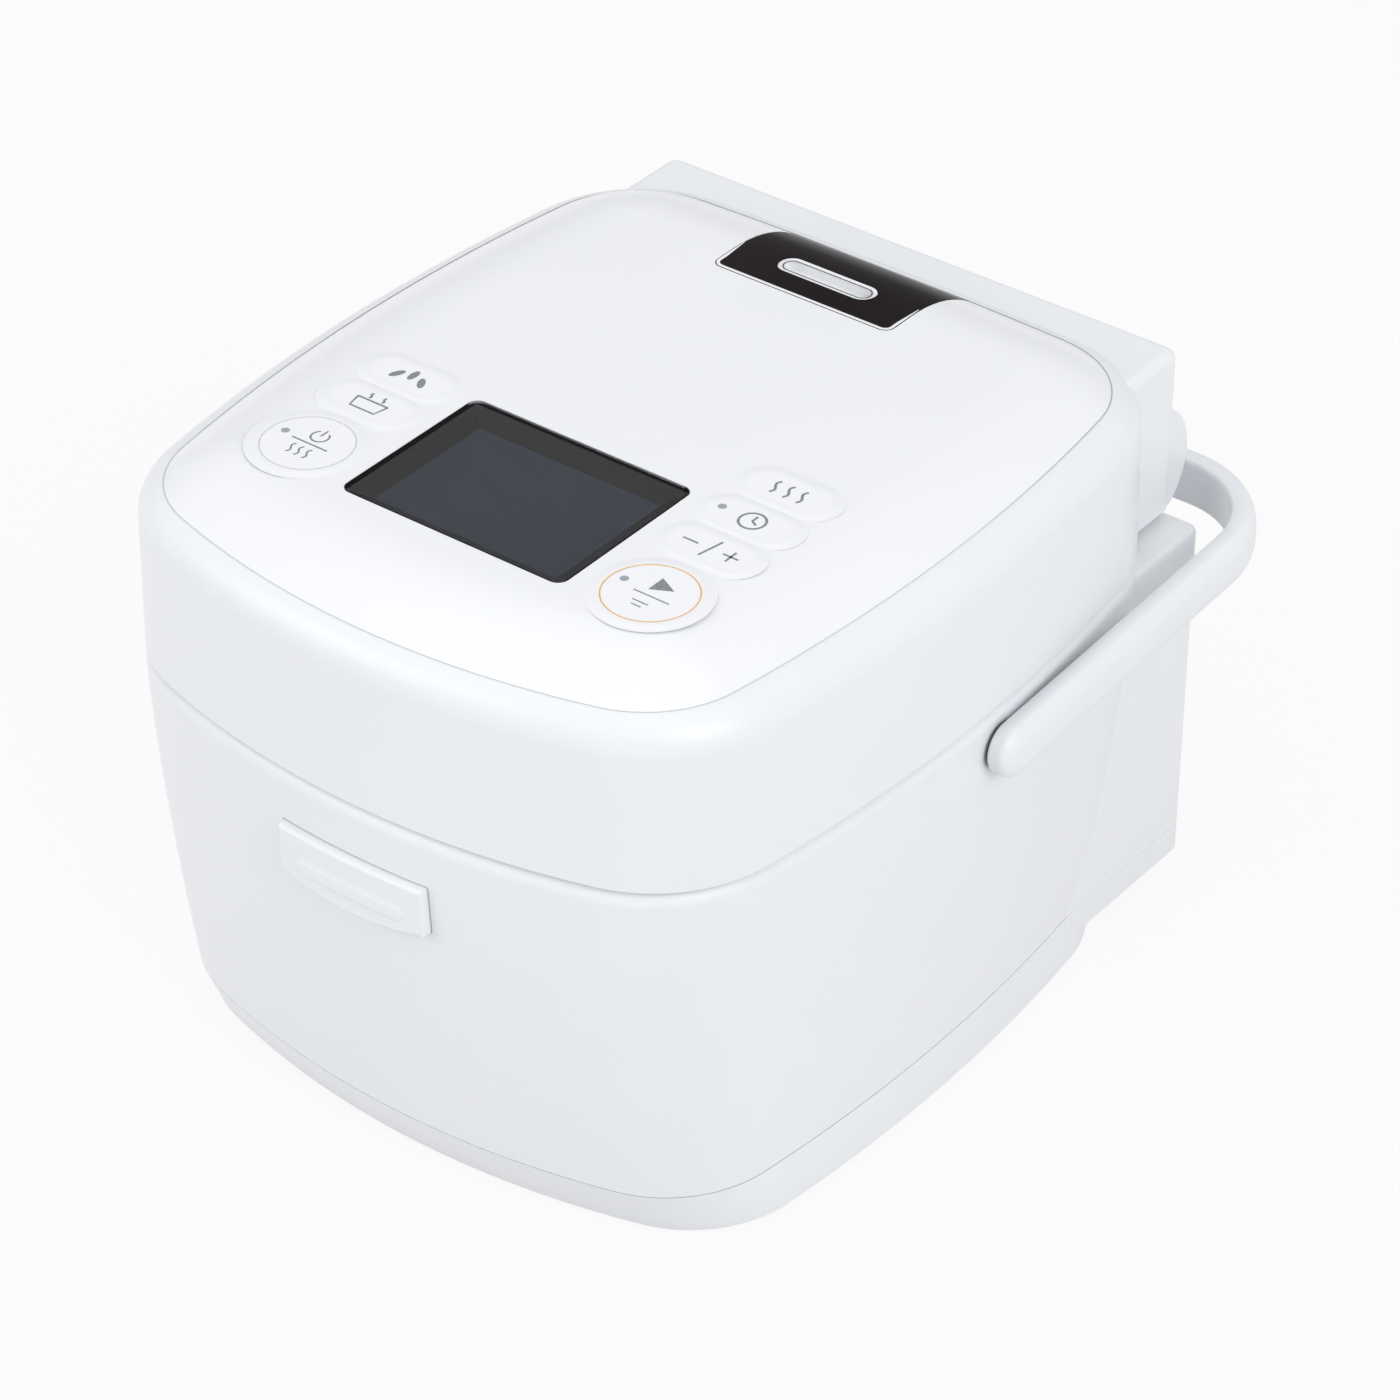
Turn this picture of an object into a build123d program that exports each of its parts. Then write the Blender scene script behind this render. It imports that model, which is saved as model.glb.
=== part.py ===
from build123d import *
import os
from math import cos, hypot, radians, sin, sqrt, tan

# Compact countertop induction rice cooker with a hinged lid, a swing-up carry handle, a push button that
# frees the lid, a display with keys in the lid's top panel and a lift-out steam cap.
# Millimetres. +Z is up, the front faces -Y, and the origin is on the table under the middle of the
# object's box, handle included.

# Outside form in plan, at the lid's lower edge
BELT_HALF_WIDTH = 110.5
BELT_FRONT = 141.0
BELT_REAR = 106.0
CORNER_R = 42.5
SIDE_BOW_R = 550.0
FRONT_BOW_R = 258.0
REAR_BOW_R = 1400.0
SIDE_BOW_Y = -12.5

# Heights
FOOT_H = 1.2
BASE_SEAM_Z = 17.3
SEAM_GAP = 0.4
BODY_TOP_Z = 127.2
SHOULDER_R = 4.0
LID_GAP = 1.0
LID_HEIGHT = 51.8
ROLL_R = 50.0
ROLL_ANGLE = 35.3

# How the body draws in towards the base, and the base towards the table
SIDE_TAPER = 6.0
FRONT_TAPER = 10.3
REAR_TAPER = 11.0
CORNER_TAPER = 4.4
TAPER_POWER = 1.45
BASE_SIDE_TAPER = -1.0
BASE_FRONT_TAPER = 7.4
BASE_REAR_TAPER = 2.4

# How the lid's wall leans in and rounds over to the panel's seam
LID_LEAN = 1.0
RIM_R = 10.5
RIM_TURN = 81.0
FRONT_FULL = 2.4

# Walls and fits
WALL = 2.5
PANEL_WALL = 2.5
FIT_GAP = 0.2
SLIDE_GAP = 0.3
REST_GAP = 0.3
KEY_GAP = 0.15
RUNNING_GAP = 0.05
PANEL_LEDGE = 5.0

# Rear block behind the rounded body, and the one on the lid above it
BLOCK_HALF_WIDTH = 100.5
BLOCK_REAR = 115.5
BLOCK_FRONT = 50.0
BLOCK_LOW_Z = 8.0
LEDGE_FRONT = 86.0
LEDGE_Z = 122.0
BLOCK_TOP_Z = 118.0
BLOCK_EDGE_R = 4.0
BLOCK_TOP_R = 2.0
LID_BLOCK_HALF_WIDTH = 90.4
LID_BLOCK_REAR = 114.8
LID_BLOCK_BOTTOM_Z = 125.0
LID_BLOCK_TOP_Z = 177.9
LID_BLOCK_EDGE_R = 4.0
LID_BLOCK_TOP_R = 3.0
HINGE_WELL_GAP = 3.0

# Lid hinge at the rear
HINGE_Y = 106.8
HINGE_Z = 138.0
KNUCKLE_R = 20.0
KNUCKLE_X = 76.0
KNUCKLE_WIDTH = 22.0
KNUCKLE_GAP = 0.6
POST_FRONT = 11.0
POST_REAR = 6.7
HINGE_PIN_R = 3.0
HINGE_LUG_R = 7.5
HINGE_LUG_WIDTH = 6.0
HINGE_SPRING_R = 5.0
HINGE_SPRING_LENGTH = 14.0

# Carry handle
HANDLE_GAP = 0.8
HANDLE_THICK = 7.5
HANDLE_HEIGHT = 16.0
HANDLE_REAR = 139.7
HANDLE_BEND_R = 33.5
HANDLE_EDGE_R = 2.6
HANDLE_PITCH = 2.9
PIVOT_Y = 0.8
PIVOT_Z = 115.0
PIVOT_PIN_R = 5.0
PIVOT_PIN_DEPTH = 7.5
PIVOT_BOSS_R = 8.0
PIVOT_BOSS_DEPTH = 7.0
PIVOT_RECESS_DEPTH = 1.4
PIVOT_RECESS_MARGIN = 3.5

# Open button at the front and the latch behind it
BUTTON_HALF_WIDTH = 25.1
BUTTON_TOP_Z = 110.2
BUTTON_SIDE_HEIGHT = 15.0
BUTTON_BELLY = 3.0
BUTTON_PROUD = 2.2
BUTTON_DEPTH = 8.0
BUTTON_EDGE_R = 1.2
BUTTON_GAP = 0.35
RIDGE_HALF_LENGTH = 17.0
RIDGE_WIDTH = 3.0
RIDGE_RISE = 0.5
RIDGE_DROP = 10.2
BUTTON_TRAVEL = 3.0
STEM_R = 3.5
STEM_DROP = 12.0
BUTTON_SPRING_R = 6.5
GUIDE_THICK = 2.0
LATCH_WIDTH = 16.0
LATCH_THICK = 4.0
LATCH_PIN_R = 2.0
LATCH_PIN_DROP = 6.0
LATCH_NOSE = 3.5
LATCH_NOSE_HEIGHT = 3.0
CATCH_GAP = 1.0
CATCH_LIP = 3.0
CATCH_WIDTH = 14.0

# Pot, its bowl, and the deck that carries them
POT_Y = -12.0
POT_FLANGE = 6.0
POT_CATCH_GAP = 6.2
POT_WALL = 2.0
POT_BOTTOM_Z = 42.0
POT_BOTTOM_R = 26.0
POT_FLANGE_THICK = 2.0
DECK_THICK = 4.5
DECK_HOLE_GAP = 3.0
CASE_GAP = 3.0
CASE_WALL = 2.0
CASE_FLOOR_GAP = 2.0
CASE_FLANGE = 4.0

# Induction coil and pot sensor under the bowl
COIL_R = 66.0
COIL_INNER_R = 24.0
COIL_THICK = 3.6
COIL_BASE_R = 74.0
COIL_BASE_THICK = 4.0
COIL_POST_R = 3.0
FERRITE_COUNT = 6
FERRITE_LENGTH = 38.0
FERRITE_WIDTH = 12.0
FERRITE_THICK = 4.0
SENSOR_HOLDER_R = 15.0
SENSOR_CAP_R = 11.0
SENSOR_CAP_THICK = 2.5
SENSOR_CAP_EDGE_R = 0.8
SENSOR_STEM_R = 6.0
SENSOR_TRAVEL = 3.0
SENSOR_SPRING_R = 9.5
SPRING_WALL = 1.8

# Power board, heat sink and fan on the base
FLOOR_THICK = 2.5
BOARD_THICK = 1.6
BOARD_CORNER_R = 4.0
BOARD_X = -36.0
BOARD_Y = -16.0
BOARD_WIDTH = 104.0
BOARD_LENGTH = 140.0
STANDOFF_H = 7.0
STANDOFF_R = 4.0
STANDOFF_MARGIN = 7.0
SINK_WIDTH = 44.0
SINK_LENGTH = 60.0
SINK_HEIGHT = 11.0
SINK_FINS = 7
SINK_FIN_THICK = 1.6
CAPACITOR_R = 5.0
CAPACITOR_H = 11.0
CAPACITOR_EDGE_R = 1.0
CAPACITOR_COUNT = 3
CHOKE_SIZE = 22.0
CHOKE_H = 10.0
CHOKE_CORNER_R = 2.0
FAN_X = 56.0
FAN_Y = 40.0
FAN_SIZE = 60.0
FAN_THICK = 15.0
FAN_R = 28.0
FAN_TIP_GAP = 1.0
FAN_HUB_R = 12.0
FAN_PIN_R = 1.5
FAN_BLADES = 7
FAN_BLADE_THICK = 1.4
FAN_BLADE_TILT = 40.0
FAN_CORNER_R = 4.0
FAN_STRUT = 3.0
VENT_SLOT_WIDTH = 3.0
VENT_SLOT_LENGTH = 44.0
VENT_SLOT_PITCH = 7.0
VENT_SLOTS = 7
FOOT_R = 7.0
FOOT_X = 74.0
FOOT_FRONT_Y = -92.0
FOOT_REAR_Y = 80.0
SCREW_R = 3.0
SCREW_DEPTH = 1.6
SCREW_SLOT = 0.6
SCREW_INSET = 16.0
OUTLET_X = 68.0
OUTLET_Z = 34.0
OUTLET_R = 7.0
OUTLET_BORE_R = 4.2
OUTLET_FLANGE_R = 10.0
OUTLET_FLANGE_THICK = 2.0

# Inside of the lid, from the pot upwards
GASKET_WIDTH = 6.5
GASKET_THICK = 3.4
INNER_LID_R = 88.0
INNER_LID_THICK = 1.5
HEAT_PLATE_R = 66.0
HEAT_PLATE_THICK = 1.0
COVER_THICK = 2.5
LID_SENSOR_R = 6.0
DUCT_Y = 66.0
DUCT_R = 8.0
DUCT_BORE_R = 5.5

# Display, board and keys under the panel
WINDOW_WIDTH = 75.8
WINDOW_LENGTH = 57.0
WINDOW_Y = -68.9
WINDOW_CORNER_R = 3.5
WINDOW_THICK = 1.2
BEZEL_RIM = 1.3
BEZEL_FLANGE = 2.5
LCD_WIDTH = 62.2
LCD_LENGTH = 43.8
LCD_DROP = 4.4
LCD_THICK = 3.0
LCD_EDGE = 2.0
LID_BOARD_WIDTH = 156.0
LID_BOARD_LENGTH = 84.0
LID_BOARD_Y = -65.0
KEY_RISE = 0.35
KEY_TRAVEL = 0.5
KEY_EDGE_R = 0.3
KEY_FLANGE = 1.2
KEY_FLANGE_THICK = 1.0
KEY_FLANGE_DROP = 0.8
SWITCH_SIZE = 6.0
SWITCH_GAP = 0.2
ROUND_KEY_R = 13.8
ROUND_KEY_X = 58.6
ROUND_KEY_Y = -86.1
PILL_LENGTH = 26.5
PILL_WIDTH = 12.0
PILL_X = 58.3
PILL_PITCH = 17.0
LEFT_PILL_Y = -43.8
RIGHT_PILL_Y = -26.3

# Steam cap over its well at the rear of the panel
CAP_HALF_WIDTH = 30.8
CAP_FRONT = 56.0
CAP_THICK = 3.0
CAP_GAP = 0.35
CAP_CORNER_R = 3.0
BOX_HALF_WIDTH = 26.0
BOX_FRONT = 60.0
BOX_REAR = 87.5
BOX_BOTTOM_Z = 160.0
BOX_WALL = 2.0
STEAM_SLOT_LENGTH = 33.5
STEAM_SLOT_WIDTH = 9.0
STEAM_SLOT_Y = 69.5
INSERT_DROP = 0.6
INSERT_RIM = 1.0
INSERT_DEPTH = 6.0
INSERT_FLOOR_DROP = 3.0
WELL_GAP = 0.6
WELL_WALL = 2.0
WELL_FLANGE = 4.0

# Places worked out from the sizes above
LID_BOTTOM_Z = BODY_TOP_Z + LID_GAP
PANEL_SEAM_Z = LID_BOTTOM_Z + LID_HEIGHT
RIM_HEIGHT = RIM_R * (sin(radians(RIM_TURN)) - sin(radians(LID_LEAN)))
RIM_Z = PANEL_SEAM_Z - RIM_HEIGHT
RIM_INSET = (LID_HEIGHT - RIM_HEIGHT) * tan(radians(LID_LEAN))
PANEL_SEAM_INSET = RIM_INSET + RIM_R * (cos(radians(LID_LEAN)) - cos(radians(RIM_TURN)))
PANEL_RISE = ROLL_R * (1 - cos(radians(ROLL_ANGLE)))
PANEL_TOP_Z = PANEL_SEAM_Z + PANEL_RISE
PANEL_UNDER_Z = PANEL_TOP_Z - PANEL_WALL
DECK_TOP_Z = BLOCK_TOP_Z + DECK_THICK
POT_RIM_Z = DECK_TOP_Z + POT_FLANGE_THICK
CASE_BOTTOM_Z = POT_BOTTOM_Z - CASE_FLOOR_GAP - CASE_WALL
COIL_BASE_TOP_Z = CASE_BOTTOM_Z - COIL_THICK
COIL_BASE_Z = COIL_BASE_TOP_Z - COIL_BASE_THICK
FLOOR_TOP_Z = FOOT_H + FLOOR_THICK
BOARD_Z = FLOOR_TOP_Z + STANDOFF_H
GASKET_Z = POT_RIM_Z + REST_GAP
INNER_LID_Z = GASKET_Z + GASKET_THICK
HEAT_PLATE_Z = INNER_LID_Z + INNER_LID_THICK + REST_GAP
COVER_Z = HEAT_PLATE_Z + HEAT_PLATE_THICK
HINGE_LUG_X = KNUCKLE_X - KNUCKLE_WIDTH / 2 - KNUCKLE_GAP - HINGE_LUG_WIDTH / 2
LID_BLOCK_INNER_HALF = LID_BLOCK_HALF_WIDTH - WALL
HINGE_CUT_TOP_Z = HINGE_Z + KNUCKLE_R + KNUCKLE_GAP
HINGE_CUT_FRONT = HINGE_Y - KNUCKLE_R - KNUCKLE_GAP
COVER_REAR = HINGE_CUT_FRONT - LID_GAP
HANDLE_INNER_HALF = max(BELT_HALF_WIDTH, BLOCK_HALF_WIDTH) + HANDLE_GAP
HANDLE_OUTER_HALF = HANDLE_INNER_HALF + HANDLE_THICK
HANDLE_REACH = HANDLE_REAR - PIVOT_Y
BUTTON_FRONT = BELT_FRONT + BUTTON_PROUD
BUTTON_BACK = BUTTON_FRONT - BUTTON_DEPTH
STEM_Z = BUTTON_TOP_Z - STEM_DROP
LATCH_FRONT = BUTTON_BACK - BUTTON_TRAVEL - 2 * GUIDE_THICK - BUTTON_SPRING_R
CATCH_REAR = LATCH_FRONT - LATCH_THICK - LATCH_NOSE - CATCH_GAP - CATCH_LIP
POT_FLANGE_R = CATCH_REAR + POT_Y - POT_CATCH_GAP
POT_R = POT_FLANGE_R - POT_FLANGE
CASE_R = POT_R + CASE_GAP
LATCH_PIVOT_Z = BLOCK_TOP_Z - LATCH_PIN_DROP
LATCH_PIVOT_Y = -LATCH_FRONT + LATCH_THICK / 2
LATCH_TOP_Z = COVER_Z - REST_GAP
LCD_Z = PANEL_TOP_Z - LCD_DROP
BEZEL_TOP_Z = PANEL_TOP_Z - WINDOW_THICK
LID_BOARD_TOP_Z = LCD_Z - LCD_THICK
KEY_FLANGE_TOP_Z = PANEL_UNDER_Z - KEY_FLANGE_DROP
KEY_BOTTOM_Z = KEY_FLANGE_TOP_Z - KEY_FLANGE_THICK
SWITCH_TOP_Z = KEY_BOTTOM_Z - KEY_TRAVEL - SWITCH_GAP
FAN_Z = FLOOR_TOP_Z
FRAME_Y = (BUTTON_FRONT + RIDGE_RISE - HANDLE_REAR) / 2
EXTRA = 20.0


def meet(centre_a, radius_a, centre_b, radius_b, near):
    """The point at radius_a from centre_a and radius_b from centre_b that lies closest to near."""
    dx = centre_b[0] - centre_a[0]
    dy = centre_b[1] - centre_a[1]
    apart = hypot(dx, dy)
    along = (radius_a**2 - radius_b**2 + apart**2) / (2 * apart)
    across = sqrt(radius_a**2 - along**2)
    ux = dx / apart
    uy = dy / apart
    both = []
    for side in (-1, 1):
        x = centre_a[0] + ux * along - side * uy * across
        y = centre_a[1] + uy * along + side * ux * across
        both.append((x, y))
    return min(both, key=lambda p: hypot(p[0] - near[0], p[1] - near[1]))


def reach(centre, through, radius):
    """The point at radius from centre, in the direction of through."""
    dx = through[0] - centre[0]
    dy = through[1] - centre[1]
    length = hypot(dx, dy)
    return (centre[0] + dx * radius / length, centre[1] + dy * radius / length)


def corner(half_width, end_y, end_r, side_r, corner_r):
    """Right-hand corner that joins a bowed end to the bowed side: its end point, middle and side point."""
    toward = 1 if end_y > 0 else -1
    side_centre = (half_width - side_r, SIDE_BOW_Y)
    end_centre = (0, end_y - toward * end_r)
    guess = (half_width - corner_r, end_y - toward * corner_r)
    centre = meet(side_centre, side_r - corner_r, end_centre, end_r - corner_r, guess)
    end_point = reach(end_centre, centre, end_r)
    side_point = reach(side_centre, centre, side_r)
    halfway = ((end_point[0] + side_point[0]) / 2, (end_point[1] + side_point[1]) / 2)
    return end_point, reach(centre, halfway, corner_r), side_point


def outline(z, inset=0, half_width=BELT_HALF_WIDTH, front=BELT_FRONT, rear=BELT_REAR, corner_r=CORNER_R):
    """Closed outline of eight tangent arcs at height z, drawn in all round by inset."""
    half = half_width - inset
    front_y = -(front - inset)
    rear_y = rear - inset
    rounding = corner_r - inset
    f_end, f_mid, f_side = corner(half, front_y, FRONT_BOW_R - inset, SIDE_BOW_R - inset, rounding)
    r_end, r_mid, r_side = corner(half, rear_y, REAR_BOW_R - inset, SIDE_BOW_R - inset, rounding)
    right = [(0, front_y), f_end, f_mid, f_side, (half, SIDE_BOW_Y), r_side, r_mid, r_end]
    left = [(-x, y) for x, y in right[:0:-1]]
    ring = [(x, y, z) for x, y in right + [(0, rear_y)] + left]
    turned = ring[-1:] + ring[:-1]
    arcs = []
    for i in range(0, len(turned), 2):
        arcs.append(ThreePointArc(turned[i], turned[i + 1], turned[(i + 2) % len(turned)]))
    return Wire(arcs)


def body_outline(z, inset=0):
    """Outline of the rounded body, which draws in towards the base seam."""
    share = ((BODY_TOP_Z - SHOULDER_R - z) / (BODY_TOP_Z - SHOULDER_R - BASE_SEAM_Z)) ** TAPER_POWER
    return outline(
        z,
        inset,
        BELT_HALF_WIDTH - SIDE_TAPER * share,
        BELT_FRONT - FRONT_TAPER * share,
        BELT_REAR - REAR_TAPER * share,
        CORNER_R - CORNER_TAPER * share,
    )


def base_outline(z, inset=0):
    """Outline of the base cover, which draws in below the seam, most at the front."""
    share = (BASE_SEAM_Z - z) / (BASE_SEAM_Z - FOOT_H)
    return outline(
        z,
        inset,
        BELT_HALF_WIDTH - SIDE_TAPER - BASE_SIDE_TAPER * share,
        BELT_FRONT - FRONT_TAPER - BASE_FRONT_TAPER * share,
        BELT_REAR - REAR_TAPER - BASE_REAR_TAPER * share,
        CORNER_R - CORNER_TAPER,
    )


def lid_inset(z):
    """How far the lid's leaning wall has drawn in at height z."""
    return (z - LID_BOTTOM_Z) * tan(radians(LID_LEAN))


def lid_outline(z, inset, wall=0):
    """Outline on the lid, which draws in less at the front than at the sides, wall mm inside it."""
    fuller = FRONT_FULL * min(1, inset / PANEL_SEAM_INSET)
    return outline(z, inset + wall, front=BELT_FRONT + fuller)


def rim_outline(share, wall):
    """Outline on the lid's round rim, at a share of its turn towards the panel, wall mm inside it."""
    slope = radians(LID_LEAN + (RIM_TURN - LID_LEAN) * share)
    z = RIM_Z + RIM_R * (sin(slope) - sin(radians(LID_LEAN))) - wall * sin(slope)
    inset = RIM_INSET + RIM_R * (cos(radians(LID_LEAN)) - cos(slope))
    return lid_outline(z, inset, wall * cos(slope))


def between(low, high, shares):
    """Heights at the given shares of the way from low to high."""
    return [low + (high - low) * share for share in shares]


def drum(radius, low, high, x=0, y=0):
    """Upright cylinder from low to high."""
    return Pos(x, y, low) * Cylinder(radius, high - low, align=(Align.CENTER, Align.CENTER, Align.MIN))


def tube(radius, bore, low, high, x=0, y=0):
    """Upright tube from low to high."""
    return drum(radius, low, high, x, y) - drum(bore, low, high, x, y)


def rod(radius, start, end, y, z):
    """Cylinder along X from start to end."""
    turned = Pos(start, y, z) * Rot(0, 90, 0)
    return turned * Cylinder(radius, end - start, align=(Align.CENTER, Align.CENTER, Align.MIN))


def bar(radius, start, end, x, z):
    """Cylinder along Y from start to end."""
    turned = Pos(x, start, z) * Rot(-90, 0, 0)
    return turned * Cylinder(radius, end - start, align=(Align.CENTER, Align.CENTER, Align.MIN))


def block(x0, x1, y0, y1, z0, z1):
    """Box between two corners."""
    return Pos((x0 + x1) / 2, (y0 + y1) / 2, (z0 + z1) / 2) * Box(x1 - x0, y1 - y0, z1 - z0)


def slab(width, length, corner_r, low, high, x=0, y=0):
    """Round-cornered plate from low to high."""
    return Pos(x, y, low) * extrude(RectangleRounded(width, length, corner_r), high - low)


def pill(length, width, low, high, x=0, y=0):
    """Plate with round ends, long in X."""
    return Pos(x, y, low) * extrude(SlotOverall(length, width), high - low)


def prism(wire, height):
    """Upright solid on a flat outline."""
    return extrude(Face(wire), height, dir=(0, 0, 1))


def rounded_block(half_width, front, rear, low, high, edge_r, top_r):
    """Rear block with round upright edges at the back and a softened top edge."""
    solid = block(-half_width, half_width, front, rear, low, high)
    solid = fillet(solid.edges().filter_by(Axis.Z).group_by(Axis.Y)[-1], edge_r)
    top = solid.faces().sort_by(Axis.Z)[-1]
    return fillet([e for e in top.edges() if e.center().Y > front + edge_r / 2], top_r)


def mirrored(solid):
    """The solid and its mirror image in the left half."""
    return [solid, mirror(solid, Plane.YZ)]


def body_form(inset=0):
    """Rounded body between the base seam and the shoulder."""
    heights = between(BASE_SEAM_Z, BODY_TOP_Z - SHOULDER_R, (0, 0.25, 0.5, 0.75, 1))
    return Solid.make_loft([body_outline(z, inset) for z in heights])


def shoulder_form():
    """Round shoulder that ends the body's wall under the lid's edge."""
    rings = []
    for angle in (0, 30, 60, 90):
        z = BODY_TOP_Z - SHOULDER_R + SHOULDER_R * sin(radians(angle))
        rings.append(outline(z, SHOULDER_R * (1 - cos(radians(angle)))))
    return Solid.make_loft(rings)


def lid_form(wall=0):
    """Lid's leaning wall and round rim up to the panel's seam, or the form that lies wall mm inside them."""
    lean = radians(LID_LEAN)
    low = outline(LID_BOTTOM_Z - wall * sin(lean), wall * cos(lean))
    rim = Solid.make_loft([rim_outline(share, wall) for share in (0, 0.25, 0.5, 0.75, 1)])
    return Solid.make_loft([low, rim_outline(0, wall)], ruled=True) + rim


def pillow(drop=0):
    """Top panel's outer form: a flat top that rolls off all round to the seam, lowered by drop."""
    rings = []
    for share in (1, 0.75, 0.5, 0.25, 0):
        slope = radians(ROLL_ANGLE * share)
        inset = PANEL_SEAM_INSET + ROLL_R * (sin(radians(ROLL_ANGLE)) - sin(slope))
        z = PANEL_TOP_Z - ROLL_R * (1 - cos(slope)) - drop
        rings.append(lid_outline(z, inset))
    return Solid.make_loft(rings)


def deep_pillow(drop):
    """The lowered panel form with its rim carried straight down, for cutting and trimming."""
    low = PANEL_SEAM_Z - drop - EXTRA
    return pillow(drop) + prism(lid_outline(low, PANEL_SEAM_INSET), EXTRA)


def button_form(grow, front, back):
    """Open button's plate: straight top and sides, bowed lower edge, front bowed like the body."""
    half = BUTTON_HALF_WIDTH + grow
    top = BUTTON_TOP_Z + grow
    side = BUTTON_TOP_Z - BUTTON_SIDE_HEIGHT - grow
    edges = [
        Line((-half, 0, side), (-half, 0, top)),
        Line((-half, 0, top), (half, 0, top)),
        Line((half, 0, top), (half, 0, side)),
        ThreePointArc((half, 0, side), (0, 0, side - BUTTON_BELLY), (-half, 0, side)),
    ]
    depth = BELT_FRONT + EXTRA
    plate = extrude(Face(Wire(edges)), depth, dir=(0, -1, 0))
    bowed = Pos(0, FRONT_BOW_R - front, 0) * drum(FRONT_BOW_R, side - EXTRA, top + EXTRA)
    return plate & bowed & block(-half, half, -front - EXTRA, -back, side - EXTRA, top + EXTRA)


def lever(points, width):
    """Flat lever on a Y-Z outline, centred on the middle plane."""
    face = make_face(Polyline(*[(0, y, z) for y, z in points], close=True))
    return extrude(face, width / 2, dir=(1, 0, 0), both=True)


# Outer casing: rounded body, shoulder and rear block, hollow, with the openings for what passes through it.
def make_body_shell():
    outer = body_form() + shoulder_form()
    outer += rounded_block(
        BLOCK_HALF_WIDTH, BLOCK_FRONT, BLOCK_REAR, BASE_SEAM_Z, LEDGE_Z, BLOCK_EDGE_R, BLOCK_TOP_R
    )
    well_half = LID_BLOCK_HALF_WIDTH + HINGE_WELL_GAP
    wall_top = BODY_TOP_Z - SHOULDER_R
    inner = body_form(WALL) + prism(outline(wall_top, SHOULDER_R + WALL / 2), EXTRA)
    inner -= block(
        -BLOCK_HALF_WIDTH, BLOCK_HALF_WIDTH, LEDGE_FRONT, BLOCK_REAR, LEDGE_Z - WALL, LEDGE_Z
    )
    inner += block(
        WALL - BLOCK_HALF_WIDTH, BLOCK_HALF_WIDTH - WALL, BLOCK_FRONT, BLOCK_REAR - WALL, BASE_SEAM_Z,
        LEDGE_Z - WALL,
    )
    hinge_well = block(-well_half, well_half, LEDGE_FRONT, BELT_REAR + EXTRA, LEDGE_Z, LID_BOTTOM_Z)
    shell = outer - inner - hinge_well
    shell -= button_form(BUTTON_GAP, BUTTON_FRONT + EXTRA, BUTTON_BACK - EXTRA)
    recess_r = HANDLE_HEIGHT / 2 + PIVOT_RECESS_MARGIN
    for side in (-1, 1):
        out_x = side * HANDLE_INNER_HALF
        bore_x = side * (BELT_HALF_WIDTH - PIVOT_RECESS_DEPTH)
        boss_x = side * (BELT_HALF_WIDTH - WALL / 2 - PIVOT_BOSS_DEPTH)
        shell += rod(PIVOT_BOSS_R, min(boss_x, bore_x), max(boss_x, bore_x), PIVOT_Y, PIVOT_Z)
        shell -= rod(recess_r, min(bore_x, out_x), max(bore_x, out_x), PIVOT_Y, PIVOT_Z)
        shell -= rod(PIVOT_PIN_R + RUNNING_GAP, min(boss_x, out_x), max(boss_x, out_x), PIVOT_Y, PIVOT_Z)
    shell -= bar(OUTLET_R, BLOCK_FRONT, BLOCK_REAR, OUTLET_X, OUTLET_Z)
    for i in range(VENT_SLOTS):
        z = OUTLET_Z + (i - (VENT_SLOTS - 1) / 2) * VENT_SLOT_PITCH
        slot = Pos(0, BLOCK_REAR - WALL / 2, z) * Box(VENT_SLOT_LENGTH, WALL * 2, VENT_SLOT_WIDTH)
        shell -= slot
    return shell


# Base cover that closes the body from below, with air slots, board standoffs and screw seats.
def make_base_cover():
    top = BASE_SEAM_Z - SEAM_GAP
    outer = Solid.make_loft([base_outline(FOOT_H), base_outline(top)], ruled=True)
    outer += rounded_block(
        BLOCK_HALF_WIDTH, BLOCK_FRONT, BLOCK_REAR, BLOCK_LOW_Z, top, BLOCK_EDGE_R, SEAM_GAP
    )
    inner = prism(base_outline(FOOT_H, WALL).moved(Location((0, 0, FLOOR_THICK))), BASE_SEAM_Z)
    inner += block(
        WALL - BLOCK_HALF_WIDTH, BLOCK_HALF_WIDTH - WALL, BLOCK_FRONT, BLOCK_REAR - WALL,
        BLOCK_LOW_Z + FLOOR_THICK, BASE_SEAM_Z,
    )
    cover = outer - inner
    for x, y in board_corners():
        cover += drum(STANDOFF_R, FLOOR_TOP_Z, BOARD_Z, x, y)
    for i in range(VENT_SLOTS):
        y = FAN_Y + (i - (VENT_SLOTS - 1) / 2) * VENT_SLOT_PITCH
        cover -= block(
            FAN_X - VENT_SLOT_LENGTH / 2, FAN_X + VENT_SLOT_LENGTH / 2, y - VENT_SLOT_WIDTH / 2,
            y + VENT_SLOT_WIDTH / 2, FOOT_H, FLOOR_TOP_Z,
        )
    for x, y in screw_places():
        cover -= drum(SCREW_R, FOOT_H, FOOT_H + SCREW_DEPTH, x, y)
    return cover


def board_corners():
    """Places of the four standoffs under the power board."""
    half_x = BOARD_WIDTH / 2 - STANDOFF_MARGIN
    half_y = BOARD_LENGTH / 2 - STANDOFF_MARGIN
    return [(BOARD_X + sx * half_x, BOARD_Y + sy * half_y) for sx in (-1, 1) for sy in (-1, 1)]


def foot_places():
    """Places of the four feet."""
    return [(sx * FOOT_X, y) for sx in (-1, 1) for y in (FOOT_FRONT_Y, FOOT_REAR_Y)]


def screw_places():
    """Places of the base screws, one inward of each foot."""
    return [(x - SCREW_INSET * x / FOOT_X, y) for x, y in foot_places()]


def make_feet():
    return Compound([drum(FOOT_R, 0, FOOT_H, x, y) for x, y in foot_places()])


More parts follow.
